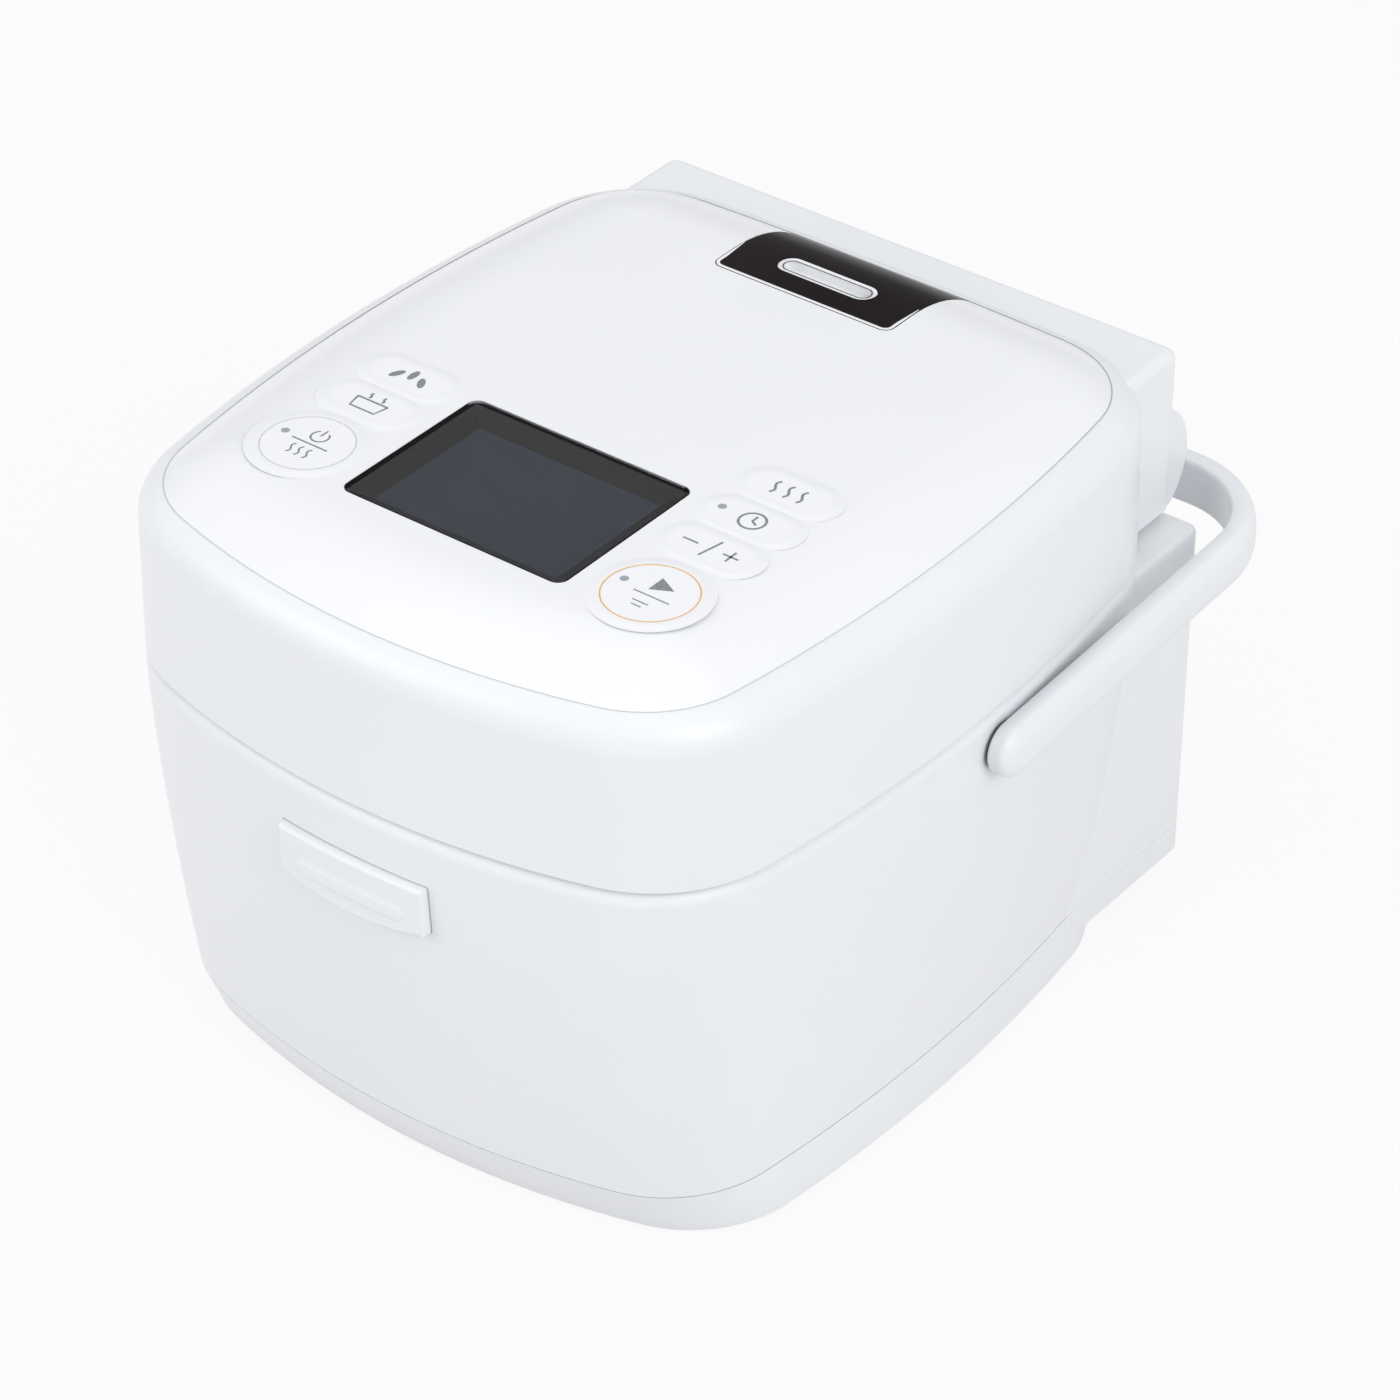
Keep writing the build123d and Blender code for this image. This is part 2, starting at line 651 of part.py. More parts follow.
def make_base_screws():
    heads = []
    for x, y in screw_places():
        head = drum(SCREW_R - FIT_GAP, FOOT_H + FIT_GAP, FOOT_H + SCREW_DEPTH, x, y)
        cross = Pos(x, y, FOOT_H + FIT_GAP) * Box(SCREW_R, SCREW_SLOT, SCREW_DEPTH)
        heads.append(head - cross - cross.rotate(Axis((x, y, 0), (0, 0, 1)), 90))
    return Compound(heads)


# Deck round the pot, which carries the pot by its flange.
def make_deck():
    plate = prism(outline(BLOCK_TOP_Z, WALL + FIT_GAP), DECK_THICK)
    plate -= drum(POT_R + DECK_HOLE_GAP, BLOCK_TOP_Z, DECK_TOP_Z, 0, POT_Y)
    plate -= block(
        -BELT_HALF_WIDTH, BELT_HALF_WIDTH, LEDGE_FRONT - FIT_GAP, BELT_REAR, BLOCK_TOP_Z, DECK_TOP_Z
    )
    slot_half = LATCH_WIDTH / 2 + LID_GAP
    slot_rear = LATCH_PIVOT_Y + LATCH_THICK / 2 + LATCH_NOSE + LID_GAP
    slot_front = LATCH_PIVOT_Y - LATCH_THICK / 2 - 2 * BUTTON_TRAVEL
    plate -= block(-slot_half, slot_half, slot_front, slot_rear, BLOCK_TOP_Z, DECK_TOP_Z)
    for side in (-1, 1):
        start = side * (BELT_HALF_WIDTH - WALL / 2 - PIVOT_BOSS_DEPTH - FIT_GAP)
        end = side * BELT_HALF_WIDTH
        plate -= rod(PIVOT_BOSS_R + FIT_GAP, min(start, end), max(start, end), PIVOT_Y, PIVOT_Z)
    return plate


def bowl(radius, wall, bottom, top, round_r):
    """Round bowl with a rounded bottom edge."""
    outer = drum(radius, bottom, top, 0, POT_Y)
    outer = fillet(outer.edges().sort_by(Axis.Z)[0], round_r)
    inner = drum(radius - wall, bottom + wall, top, 0, POT_Y)
    inner = fillet(inner.edges().sort_by(Axis.Z)[0], round_r - wall)
    return outer - inner


def make_inner_case():
    case = bowl(CASE_R + CASE_WALL, CASE_WALL, CASE_BOTTOM_Z, BLOCK_TOP_Z, POT_BOTTOM_R)
    flange_r = CASE_R + CASE_WALL + CASE_FLANGE
    case += tube(flange_r, CASE_R, BLOCK_TOP_Z - CASE_WALL, BLOCK_TOP_Z, 0, POT_Y)
    front = POT_Y - CASE_R - CASE_WALL
    case -= block(-LATCH_WIDTH, LATCH_WIDTH, front - CASE_FLANGE, front, BLOCK_TOP_Z - CASE_WALL, BLOCK_TOP_Z)
    rear_cut = block(-CASE_R, CASE_R, LEDGE_FRONT - FIT_GAP, BLOCK_REAR, BLOCK_TOP_Z - CASE_WALL, BLOCK_TOP_Z)
    return case - rear_cut - drum(SENSOR_HOLDER_R - SPRING_WALL, CASE_BOTTOM_Z, POT_BOTTOM_Z, 0, POT_Y)


def make_inner_pot():
    pot = bowl(POT_R, POT_WALL, POT_BOTTOM_Z, POT_RIM_Z, POT_BOTTOM_R)
    flange = tube(POT_FLANGE_R, POT_R - POT_WALL, DECK_TOP_Z, POT_RIM_Z, 0, POT_Y)
    return pot + flange


def ring_places(count, radius, start=0):
    """Places and headings of count pieces on a circle round the pot's axis."""
    places = []
    for i in range(count):
        heading = start + 360 * i / count
        places.append((radius * cos(radians(heading)), POT_Y + radius * sin(radians(heading)), heading))
    return places


def make_coil_base():
    base = tube(COIL_BASE_R, SENSOR_HOLDER_R + FIT_GAP, COIL_BASE_Z, COIL_BASE_TOP_Z, 0, POT_Y)
    post_r = (COIL_R + COIL_BASE_R) / 2
    for x, y, _ in ring_places(FERRITE_COUNT, post_r, 360 / FERRITE_COUNT / 2):
        base += drum(COIL_POST_R, COIL_BASE_TOP_Z, CASE_BOTTOM_Z, x, y)
    return base


def make_induction_coil():
    return tube(COIL_R, COIL_INNER_R, COIL_BASE_TOP_Z, CASE_BOTTOM_Z - FIT_GAP, 0, POT_Y)


def make_ferrite_bars():
    bars = []
    for x, y, heading in ring_places(FERRITE_COUNT, (COIL_R + COIL_INNER_R) / 2):
        stick = Box(FERRITE_LENGTH, FERRITE_WIDTH, FERRITE_THICK)
        bars.append(Pos(x, y, COIL_BASE_Z - FERRITE_THICK / 2) * Rot(0, 0, heading) * stick)
    return Compound(bars)


def make_sensor_holder():
    cup = drum(SENSOR_HOLDER_R, COIL_BASE_Z, CASE_BOTTOM_Z, 0, POT_Y)
    return cup - drum(SENSOR_HOLDER_R - SPRING_WALL, COIL_BASE_Z + SPRING_WALL, CASE_BOTTOM_Z, 0, POT_Y)


def make_sensor_cap():
    top = POT_BOTTOM_Z - REST_GAP
    head = drum(SENSOR_CAP_R, top - SENSOR_CAP_THICK, top, 0, POT_Y)
    head = fillet(head.edges().sort_by(Axis.Z)[-1], SENSOR_CAP_EDGE_R)
    low = COIL_BASE_Z + SPRING_WALL + SENSOR_TRAVEL + REST_GAP
    return head + drum(SENSOR_STEM_R, low, top - SENSOR_CAP_THICK, 0, POT_Y)


def make_sensor_spring():
    top = POT_BOTTOM_Z - REST_GAP - SENSOR_CAP_THICK
    return tube(
        SENSOR_SPRING_R, SENSOR_SPRING_R - SPRING_WALL, COIL_BASE_Z + SPRING_WALL, top, 0, POT_Y
    )


# Power board on its standoffs, with the parts that stand on it.
def make_power_board():
    return slab(BOARD_WIDTH, BOARD_LENGTH, BOARD_CORNER_R, BOARD_Z, BOARD_Z + BOARD_THICK, BOARD_X, BOARD_Y)


def make_heat_sink():
    low = BOARD_Z + BOARD_THICK
    y = BOARD_Y + BOARD_LENGTH / 2 - SINK_LENGTH / 2 - 2 * STANDOFF_MARGIN
    foot = 2 * SINK_FIN_THICK
    sink = Pos(BOARD_X, y, low + foot / 2) * Box(SINK_WIDTH, SINK_LENGTH, foot)
    for i in range(SINK_FINS):
        x = BOARD_X + (i / (SINK_FINS - 1) - 0.5) * (SINK_WIDTH - SINK_FIN_THICK)
        sink += Pos(x, y, low + SINK_HEIGHT / 2) * Box(SINK_FIN_THICK, SINK_LENGTH, SINK_HEIGHT)
    return sink


def make_board_parts():
    low = BOARD_Z + BOARD_THICK
    front = BOARD_Y - BOARD_LENGTH / 2
    parts = []
    for i in range(CAPACITOR_COUNT):
        x = BOARD_X - BOARD_WIDTH / 4 + i * 3 * CAPACITOR_R
        can = drum(CAPACITOR_R, low, low + CAPACITOR_H, x, front + CHOKE_SIZE)
        parts.append(fillet(can.edges().sort_by(Axis.Z)[-1], CAPACITOR_EDGE_R))
    choke_x = BOARD_X + BOARD_WIDTH / 2 - CHOKE_SIZE
    choke_y = front + CHOKE_SIZE
    parts.append(slab(CHOKE_SIZE, CHOKE_SIZE, CHOKE_CORNER_R, low, low + CHOKE_H, choke_x, choke_y))
    return Compound(parts)


# Cooling fan that draws air through the base slots.
def make_fan_frame():
    high = FAN_Z + FAN_THICK
    frame = slab(FAN_SIZE, FAN_SIZE, FAN_CORNER_R, FAN_Z, high, FAN_X, FAN_Y)
    frame -= drum(FAN_R, FAN_Z, high, FAN_X, FAN_Y)
    for turn in (0, 90):
        strut = Box(2 * FAN_R + FAN_STRUT, FAN_STRUT, FAN_STRUT)
        frame += Pos(FAN_X, FAN_Y, high - FAN_STRUT / 2) * Rot(0, 0, turn) * strut
    return frame + drum(FAN_PIN_R, FAN_Z + FAN_STRUT, high - FAN_STRUT, FAN_X, FAN_Y)


def make_fan_rotor():
    low = FAN_Z + FAN_STRUT
    high = FAN_Z + FAN_THICK - FAN_STRUT - REST_GAP
    rotor = drum(FAN_HUB_R, low, high, FAN_X, FAN_Y)
    length = FAN_R - FAN_TIP_GAP - FAN_HUB_R
    for i in range(FAN_BLADES):
        blade = Box(length + FAN_STRUT, FAN_BLADE_THICK, (high - low) / cos(radians(FAN_BLADE_TILT)))
        out = Pos(FAN_HUB_R + length / 2 - FAN_STRUT / 2, 0, 0) * Rot(FAN_BLADE_TILT, 0, 0) * blade
        rotor += Pos(FAN_X, FAN_Y, (low + high) / 2) * Rot(0, 0, 360 * i / FAN_BLADES) * out
    swept = tube(FAN_R - FAN_TIP_GAP, FAN_PIN_R + RUNNING_GAP, low, high, FAN_X, FAN_Y)
    return rotor & swept


def make_cord_outlet():
    bush = bar(OUTLET_R - FIT_GAP, BLOCK_REAR - 2 * WALL, BLOCK_REAR, OUTLET_X, OUTLET_Z)
    bush += bar(OUTLET_FLANGE_R, BLOCK_REAR, BLOCK_REAR + OUTLET_FLANGE_THICK, OUTLET_X, OUTLET_Z)
    return bush - bar(
        OUTLET_BORE_R, BLOCK_REAR - 2 * WALL, BLOCK_REAR + OUTLET_FLANGE_THICK, OUTLET_X, OUTLET_Z
    )


# Open button, its spring and guide, and the latch lever that it tips.
def make_open_button():
    cap = button_form(0, BUTTON_FRONT, BUTTON_BACK)
    front = [e for e in cap.edges() if e.center().Y < -BUTTON_FRONT + BUTTON_DEPTH / 3]
    cap = fillet(front, BUTTON_EDGE_R)
    ridge_z = BUTTON_TOP_Z - RIDGE_DROP
    ridge = pill(2 * RIDGE_HALF_LENGTH, RIDGE_WIDTH, 0, EXTRA)
    ridge = Pos(0, -BUTTON_BACK, ridge_z) * Rot(90, 0, 0) * ridge
    proud = BUTTON_FRONT + RIDGE_RISE
    bowed = Pos(0, FRONT_BOW_R - proud, 0) * drum(FRONT_BOW_R, BASE_SEAM_Z, BODY_TOP_Z)
    cap += ridge & bowed
    return cap + bar(STEM_R, -BUTTON_BACK, -LATCH_FRONT - REST_GAP, 0, STEM_Z)


def make_button_guide():
    y = -LATCH_FRONT - GUIDE_THICK - REST_GAP - BUTTON_TRAVEL
    half = BUTTON_HALF_WIDTH + WALL
    low = STEM_Z - 2 * BUTTON_SPRING_R
    guide = block(-half, half, y, y + GUIDE_THICK, low, BLOCK_TOP_Z)
    arm_front = -BUTTON_BACK - BUTTON_TRAVEL
    for side in (-1, 1):
        x = side * half
        guide += block(x - GUIDE_THICK, x + GUIDE_THICK, arm_front, y + GUIDE_THICK, low, BLOCK_TOP_Z)
    guide &= body_form(WALL)
    return guide - bar(STEM_R + SLIDE_GAP, y, y + GUIDE_THICK, 0, STEM_Z)


def make_button_spring():
    y = -LATCH_FRONT - GUIDE_THICK - REST_GAP - BUTTON_TRAVEL
    coil = bar(BUTTON_SPRING_R, -BUTTON_BACK, y, 0, STEM_Z)
    return coil - bar(BUTTON_SPRING_R - SPRING_WALL, -BUTTON_BACK, y, 0, STEM_Z)


def make_latch_hook():
    back = LATCH_PIVOT_Y + LATCH_THICK / 2
    front = LATCH_PIVOT_Y - LATCH_THICK / 2
    nose_low = LATCH_TOP_Z - LATCH_NOSE_HEIGHT
    points = [
        (front, STEM_Z - STEM_R),
        (back, STEM_Z - STEM_R),
        (back, nose_low),
        (back + LATCH_NOSE, nose_low),
        (back + LATCH_NOSE, LATCH_TOP_Z - LATCH_NOSE_HEIGHT / 2),
        (back, LATCH_TOP_Z),
        (front, LATCH_TOP_Z),
    ]
    hook = lever(points, LATCH_WIDTH)
    hook += rod(LATCH_THICK, -LATCH_WIDTH / 2, LATCH_WIDTH / 2, LATCH_PIVOT_Y, LATCH_PIVOT_Z)
    bore = LATCH_PIN_R + RUNNING_GAP
    return hook - rod(bore, -LATCH_WIDTH / 2, LATCH_WIDTH / 2, LATCH_PIVOT_Y, LATCH_PIVOT_Z)


def make_latch_pin():
    half = LATCH_WIDTH / 2 + LID_GAP
    pin = rod(LATCH_PIN_R, -half - GUIDE_THICK, half + GUIDE_THICK, LATCH_PIVOT_Y, LATCH_PIVOT_Z)
    guide_y = -LATCH_FRONT - REST_GAP - BUTTON_TRAVEL
    for x in (-half - GUIDE_THICK, half):
        ear = block(
            x, x + GUIDE_THICK, guide_y, LATCH_PIVOT_Y + LATCH_THICK, LATCH_PIVOT_Z - LATCH_THICK,
            LATCH_PIVOT_Z + LATCH_THICK,
        )
        pin += ear
    return pin


# Carry handle: a flat U strap that swings on two pins in the body's sides.
def make_handle():
    outer = RectangleRounded(2 * HANDLE_OUTER_HALF, 2 * HANDLE_REACH, HANDLE_BEND_R)
    inner = RectangleRounded(
        2 * HANDLE_INNER_HALF, 2 * (HANDLE_REACH - HANDLE_THICK), HANDLE_BEND_R - HANDLE_THICK
    )
    half_h = HANDLE_HEIGHT / 2
    strap = Pos(0, 0, -half_h) * extrude(outer - inner, HANDLE_HEIGHT)
    wide = HANDLE_OUTER_HALF + EXTRA
    keep = block(-wide, wide, 0, HANDLE_REACH + EXTRA, -half_h, half_h) + rod(half_h, -wide, wide, 0, 0)
    strap = strap & keep
    strap = fillet(strap.edges().filter_by(lambda e: not is_end_seam(e)), HANDLE_EDGE_R)
    for side in (-1, 1):
        deep = side * (BELT_HALF_WIDTH - PIVOT_PIN_DEPTH)
        face = side * (HANDLE_INNER_HALF + WALL)
        strap += rod(PIVOT_PIN_R, min(deep, face), max(deep, face), 0, 0)
    return Pos(0, PIVOT_Y, PIVOT_Z) * Rot(HANDLE_PITCH, 0, 0) * strap


def is_end_seam(edge):
    """True for the tangent lines where a flat side runs into its round end or bend."""
    along_x = abs(edge.tangent_at(0.5).X) > 0.99 and edge.length < 2 * HANDLE_THICK
    along_z = abs(edge.tangent_at(0.5).Z) > 0.99
    return along_x or along_z


# Hinge: two posts on the body's rear ledge, and the lid's pins that turn in them.
def make_hinge_posts():
    low = KNUCKLE_X - KNUCKLE_WIDTH / 2
    high = KNUCKLE_X + KNUCKLE_WIDTH / 2
    post = block(low, high, HINGE_Y - POST_FRONT, HINGE_Y + POST_REAR, LEDGE_Z, HINGE_Z)
    knuckle = rod(KNUCKLE_R, low, high, HINGE_Y, HINGE_Z)
    under = block(low, high, HINGE_Y - KNUCKLE_R, HINGE_Y + KNUCKLE_R, LEDGE_Z - EXTRA, LEDGE_Z)
    post += knuckle - under
    post -= rod(HINGE_PIN_R + RUNNING_GAP, low, high, HINGE_Y, HINGE_Z)
    return Compound(mirrored(post))


def make_hinge_pins():
    start = HINGE_LUG_X - HINGE_LUG_WIDTH / 2 - HINGE_SPRING_LENGTH
    return Compound(mirrored(rod(HINGE_PIN_R, start, LID_BLOCK_INNER_HALF, HINGE_Y, HINGE_Z)))


def make_hinge_springs():
    end = HINGE_LUG_X - HINGE_LUG_WIDTH / 2
    start = end - HINGE_SPRING_LENGTH
    coil = rod(HINGE_SPRING_R, start, end, HINGE_Y, HINGE_Z)
    return Compound(mirrored(coil - rod(HINGE_PIN_R + FIT_GAP, start, end, HINGE_Y, HINGE_Z)))


# Lid shell: rounded wall with a ledge for the panel, and a rear block that hides the hinge.
def make_lid_shell():
    outer = lid_form() + rounded_block(
        LID_BLOCK_HALF_WIDTH, BLOCK_FRONT, LID_BLOCK_REAR, LID_BLOCK_BOTTOM_Z, LID_BLOCK_TOP_Z,
        LID_BLOCK_EDGE_R, LID_BLOCK_TOP_R,
    )
    inner = lid_form(WALL) + block(
        -LID_BLOCK_INNER_HALF, LID_BLOCK_INNER_HALF, BLOCK_FRONT, LID_BLOCK_REAR - WALL, LID_BLOCK_BOTTOM_Z,
        LID_BLOCK_TOP_Z - WALL,
    )
    opening = prism(lid_outline(PANEL_SEAM_Z - 2 * WALL, PANEL_SEAM_INSET, PANEL_LEDGE), EXTRA)
    shell = outer - inner - opening
    under = block(
        -BELT_HALF_WIDTH, BELT_HALF_WIDTH, -BELT_FRONT, HINGE_CUT_FRONT, LID_BLOCK_BOTTOM_Z, LID_BOTTOM_Z
    )
    shell -= under
    half = KNUCKLE_WIDTH / 2 + KNUCKLE_GAP
    for side in (-1, 1):
        x = side * KNUCKLE_X
        shell -= block(
            x - half, x + half, HINGE_CUT_FRONT, LID_BLOCK_REAR + EXTRA, LID_BLOCK_BOTTOM_Z, HINGE_CUT_TOP_Z
        )
        lug_x = side * HINGE_LUG_X
        low = lug_x - HINGE_LUG_WIDTH / 2
        high = lug_x + HINGE_LUG_WIDTH / 2
        lug = rod(HINGE_LUG_R, low, high, HINGE_Y, HINGE_Z)
        lug += block(
            low, high, HINGE_Y - HINGE_LUG_R, LID_BLOCK_REAR - WALL, HINGE_Z, LID_BLOCK_TOP_Z - WALL
        )
        lug &= block(low, high, HINGE_Y - HINGE_LUG_R, LID_BLOCK_REAR - WALL, LEDGE_Z, LID_BLOCK_TOP_Z)
        shell += lug - rod(HINGE_PIN_R, low, high, HINGE_Y, HINGE_Z)
    return shell


# Top panel with its openings for the window, the keys and the steam cap.
def make_lid_panel():
    panel = pillow() - deep_pillow(PANEL_WALL)
    panel -= slab(
        WINDOW_WIDTH, WINDOW_LENGTH, WINDOW_CORNER_R, PANEL_UNDER_Z - EXTRA, PANEL_TOP_Z + EXTRA, 0, WINDOW_Y
    )
    for form in key_forms(KEY_GAP).values():
        panel -= form(PANEL_UNDER_Z - EXTRA, PANEL_TOP_Z + EXTRA)
    return panel - cap_footprint(CAP_GAP)


def cap_footprint(grow):
    """Upright prism over the steam cap's plan, open to the rear edge of the panel."""
    half = CAP_HALF_WIDTH + grow
    solid = block(-half, half, CAP_FRONT - grow, BELT_REAR, BOX_BOTTOM_Z, PANEL_TOP_Z + EXTRA)
    return fillet(solid.edges().filter_by(Axis.Z).group_by(Axis.Y)[0], CAP_CORNER_R + grow)


def key_forms(grow=0):
    """Name of each key and a function that makes its plan as a solid between two heights."""
    length = PILL_LENGTH + 2 * grow
    width = PILL_WIDTH + 2 * grow
    forms = {}

    def pill_at(x, y):
        return lambda low, high: pill(length, width, low, high, x, y)

    def round_at(x):
        return lambda low, high: drum(ROUND_KEY_R + grow, low, high, x, ROUND_KEY_Y)

    forms["key_grain"] = pill_at(-PILL_X, LEFT_PILL_Y)
    forms["key_menu"] = pill_at(-PILL_X, LEFT_PILL_Y - PILL_PITCH)
    forms["key_stop"] = round_at(-ROUND_KEY_X)
    forms["key_slow"] = pill_at(PILL_X, RIGHT_PILL_Y)
    forms["key_timer"] = pill_at(PILL_X, RIGHT_PILL_Y - PILL_PITCH)
    forms["key_time"] = pill_at(PILL_X, RIGHT_PILL_Y - 2 * PILL_PITCH)
    forms["key_start"] = round_at(ROUND_KEY_X)
    return forms


def make_keys():
    """Key caps that ride in the panel, each kept in by a flange under it."""
    keys = {}
    flanges = key_forms(KEY_FLANGE)
    for name, form in key_forms().items():
        cap = form(KEY_BOTTOM_Z, PANEL_TOP_Z + KEY_RISE)
        cap = fillet(cap.faces().sort_by(Axis.Z)[-1].edges(), KEY_EDGE_R)
        keys[name] = cap + flanges[name](KEY_BOTTOM_Z, KEY_FLANGE_TOP_Z)
    return keys


def make_key_switches():
    switches = []
    for form in key_forms().values():
        spot = form(LID_BOARD_TOP_Z, SWITCH_TOP_Z).center()
        height = SWITCH_TOP_Z - LID_BOARD_TOP_Z
        switches.append(
            Pos(spot.X, spot.Y, LID_BOARD_TOP_Z + height / 2) * Box(SWITCH_SIZE, SWITCH_SIZE, height)
        )
    return Compound(switches)


def make_display_window():
    return slab(
        WINDOW_WIDTH - 2 * FIT_GAP, WINDOW_LENGTH - 2 * FIT_GAP, WINDOW_CORNER_R - FIT_GAP, BEZEL_TOP_Z,
        PANEL_TOP_Z, 0, WINDOW_Y,
    )


def make_display_bezel():
    frame = slab(
        WINDOW_WIDTH - 2 * FIT_GAP, WINDOW_LENGTH - 2 * FIT_GAP, WINDOW_CORNER_R - FIT_GAP, LCD_Z,
        BEZEL_TOP_Z, 0, WINDOW_Y,
    )
    frame += slab(
        WINDOW_WIDTH + 2 * BEZEL_FLANGE, WINDOW_LENGTH + 2 * BEZEL_FLANGE, WINDOW_CORNER_R, LCD_Z,
        PANEL_UNDER_Z - FIT_GAP, 0, WINDOW_Y,
    )
    wide = Rectangle(WINDOW_WIDTH - 2 * BEZEL_RIM, WINDOW_LENGTH - 2 * BEZEL_RIM)
    narrow = Rectangle(LCD_WIDTH, LCD_LENGTH)
    well = loft([Pos(0, WINDOW_Y, LCD_Z) * narrow, Pos(0, WINDOW_Y, BEZEL_TOP_Z) * wide])
    return frame - well


def make_lcd_module():
    return slab(
        LCD_WIDTH + 2 * LCD_EDGE, LCD_LENGTH + 2 * LCD_EDGE, LCD_EDGE / 2, LID_BOARD_TOP_Z, LCD_Z, 0, WINDOW_Y
    )


def make_display_board():
    return slab(
        LID_BOARD_WIDTH, LID_BOARD_LENGTH, BOARD_CORNER_R, LID_BOARD_TOP_Z - BOARD_THICK, LID_BOARD_TOP_Z, 0,
        LID_BOARD_Y,
    )


# Underside of the lid, from the cover down to the seal that meets the pot.
def make_lid_inner_cover():
    edge = lid_inset(COVER_Z) + WALL + 2 * FIT_GAP
    plate = prism(outline(COVER_Z, edge), COVER_THICK)
    plate -= block(-BELT_HALF_WIDTH, BELT_HALF_WIDTH, COVER_REAR, BELT_REAR, COVER_Z, COVER_Z + COVER_THICK)
    return plate - drum(DUCT_R + FIT_GAP, COVER_Z, COVER_Z + COVER_THICK, 0, DUCT_Y)


def make_lid_heat_plate():
    plate = drum(HEAT_PLATE_R, HEAT_PLATE_Z, COVER_Z, 0, POT_Y)
    return plate - drum(LID_SENSOR_R + FIT_GAP, HEAT_PLATE_Z, COVER_Z, 0, POT_Y)


def make_lid_sensor():
    return drum(LID_SENSOR_R, COVER_Z - HEAT_PLATE_THICK, COVER_Z, 0, POT_Y)


def make_inner_lid():
    plate = drum(INNER_LID_R, INNER_LID_Z, INNER_LID_Z + INNER_LID_THICK, 0, POT_Y)
    return plate - drum(DUCT_BORE_R, INNER_LID_Z, INNER_LID_Z + INNER_LID_THICK, 0, DUCT_Y)


def make_lid_gasket():
    return tube(INNER_LID_R + FIT_GAP, INNER_LID_R - GASKET_WIDTH, GASKET_Z, INNER_LID_Z, 0, POT_Y)


def make_steam_gasket():
    return tube(DUCT_R, DUCT_BORE_R, INNER_LID_Z + INNER_LID_THICK, COVER_Z, 0, DUCT_Y)


def make_steam_duct():
    return tube(DUCT_R, DUCT_BORE_R, COVER_Z, well_bottom(), 0, DUCT_Y)


def well_bottom():
    """Height of the steam well's underside."""
    return BOX_BOTTOM_Z - WELL_GAP - WELL_WALL


# Steam cap: a plate that follows the panel, with a hollow box below it and a white grille in its slot.
def make_steam_cap():
    plate = (pillow() - deep_pillow(CAP_THICK)) & cap_footprint(0)
    high = PANEL_TOP_Z + EXTRA
    box = block(-BOX_HALF_WIDTH, BOX_HALF_WIDTH, BOX_FRONT, BOX_REAR, BOX_BOTTOM_Z, high)
    box -= block(
        BOX_WALL - BOX_HALF_WIDTH, BOX_HALF_WIDTH - BOX_WALL, BOX_FRONT + BOX_WALL, BOX_REAR - BOX_WALL,
        BOX_BOTTOM_Z + BOX_WALL, high,
    )
    box &= deep_pillow(CAP_THICK)
    box -= drum(DUCT_BORE_R, BOX_BOTTOM_Z, BOX_BOTTOM_Z + BOX_WALL, 0, DUCT_Y)
    cap = plate + box
    return cap - pill(STEAM_SLOT_LENGTH, STEAM_SLOT_WIDTH, BOX_BOTTOM_Z + BOX_WALL, high, 0, STEAM_SLOT_Y)


def make_steam_grille():
    top = PANEL_TOP_Z - INSERT_DROP
    length = STEAM_SLOT_LENGTH - 2 * FIT_GAP
    width = STEAM_SLOT_WIDTH - 2 * FIT_GAP
    tray = pill(length, width, top - INSERT_DEPTH, top, 0, STEAM_SLOT_Y)
    rim = 2 * INSERT_RIM
    return tray - pill(length - rim, width - rim, top - INSERT_FLOOR_DROP, top, 0, STEAM_SLOT_Y)


def make_steam_well():
    low = well_bottom()
    high = PANEL_TOP_Z + EXTRA
    inner = WELL_GAP
    outer = WELL_GAP + WELL_WALL
    cup = block(
        -BOX_HALF_WIDTH - outer, BOX_HALF_WIDTH + outer, BOX_FRONT - outer, BOX_REAR + outer, low, high
    )
    flange = block(
        -CAP_HALF_WIDTH - WELL_FLANGE, CAP_HALF_WIDTH + WELL_FLANGE, CAP_FRONT - WELL_FLANGE,
        BOX_REAR + outer, low, high,
    )
    cup += flange - deep_pillow(CAP_THICK + FIT_GAP + WELL_WALL)
    cup &= deep_pillow(CAP_THICK + FIT_GAP)
    cup -= block(
        -BOX_HALF_WIDTH - inner, BOX_HALF_WIDTH + inner, BOX_FRONT - inner, BOX_REAR + inner, low + WELL_WALL,
        high,
    )
    return cup - drum(DUCT_BORE_R, low, low + WELL_WALL, 0, DUCT_Y)


def make_lid_catch():
    nose_tip = LATCH_PIVOT_Y + LATCH_THICK / 2 + LATCH_NOSE
    lip_tip = nose_tip + CATCH_GAP
    lip_top = LATCH_TOP_Z - LATCH_NOSE_HEIGHT - REST_GAP
    lip_low = DECK_TOP_Z + REST_GAP
    points = [
        (lip_tip, lip_low),
        (lip_tip, lip_top),
        (lip_tip + CATCH_LIP / 2, lip_top),
        (lip_tip + CATCH_LIP / 2, COVER_Z),
        (lip_tip + CATCH_LIP, COVER_Z),
        (lip_tip + CATCH_LIP, lip_low),
    ]
    return lever(points, CATCH_WIDTH)


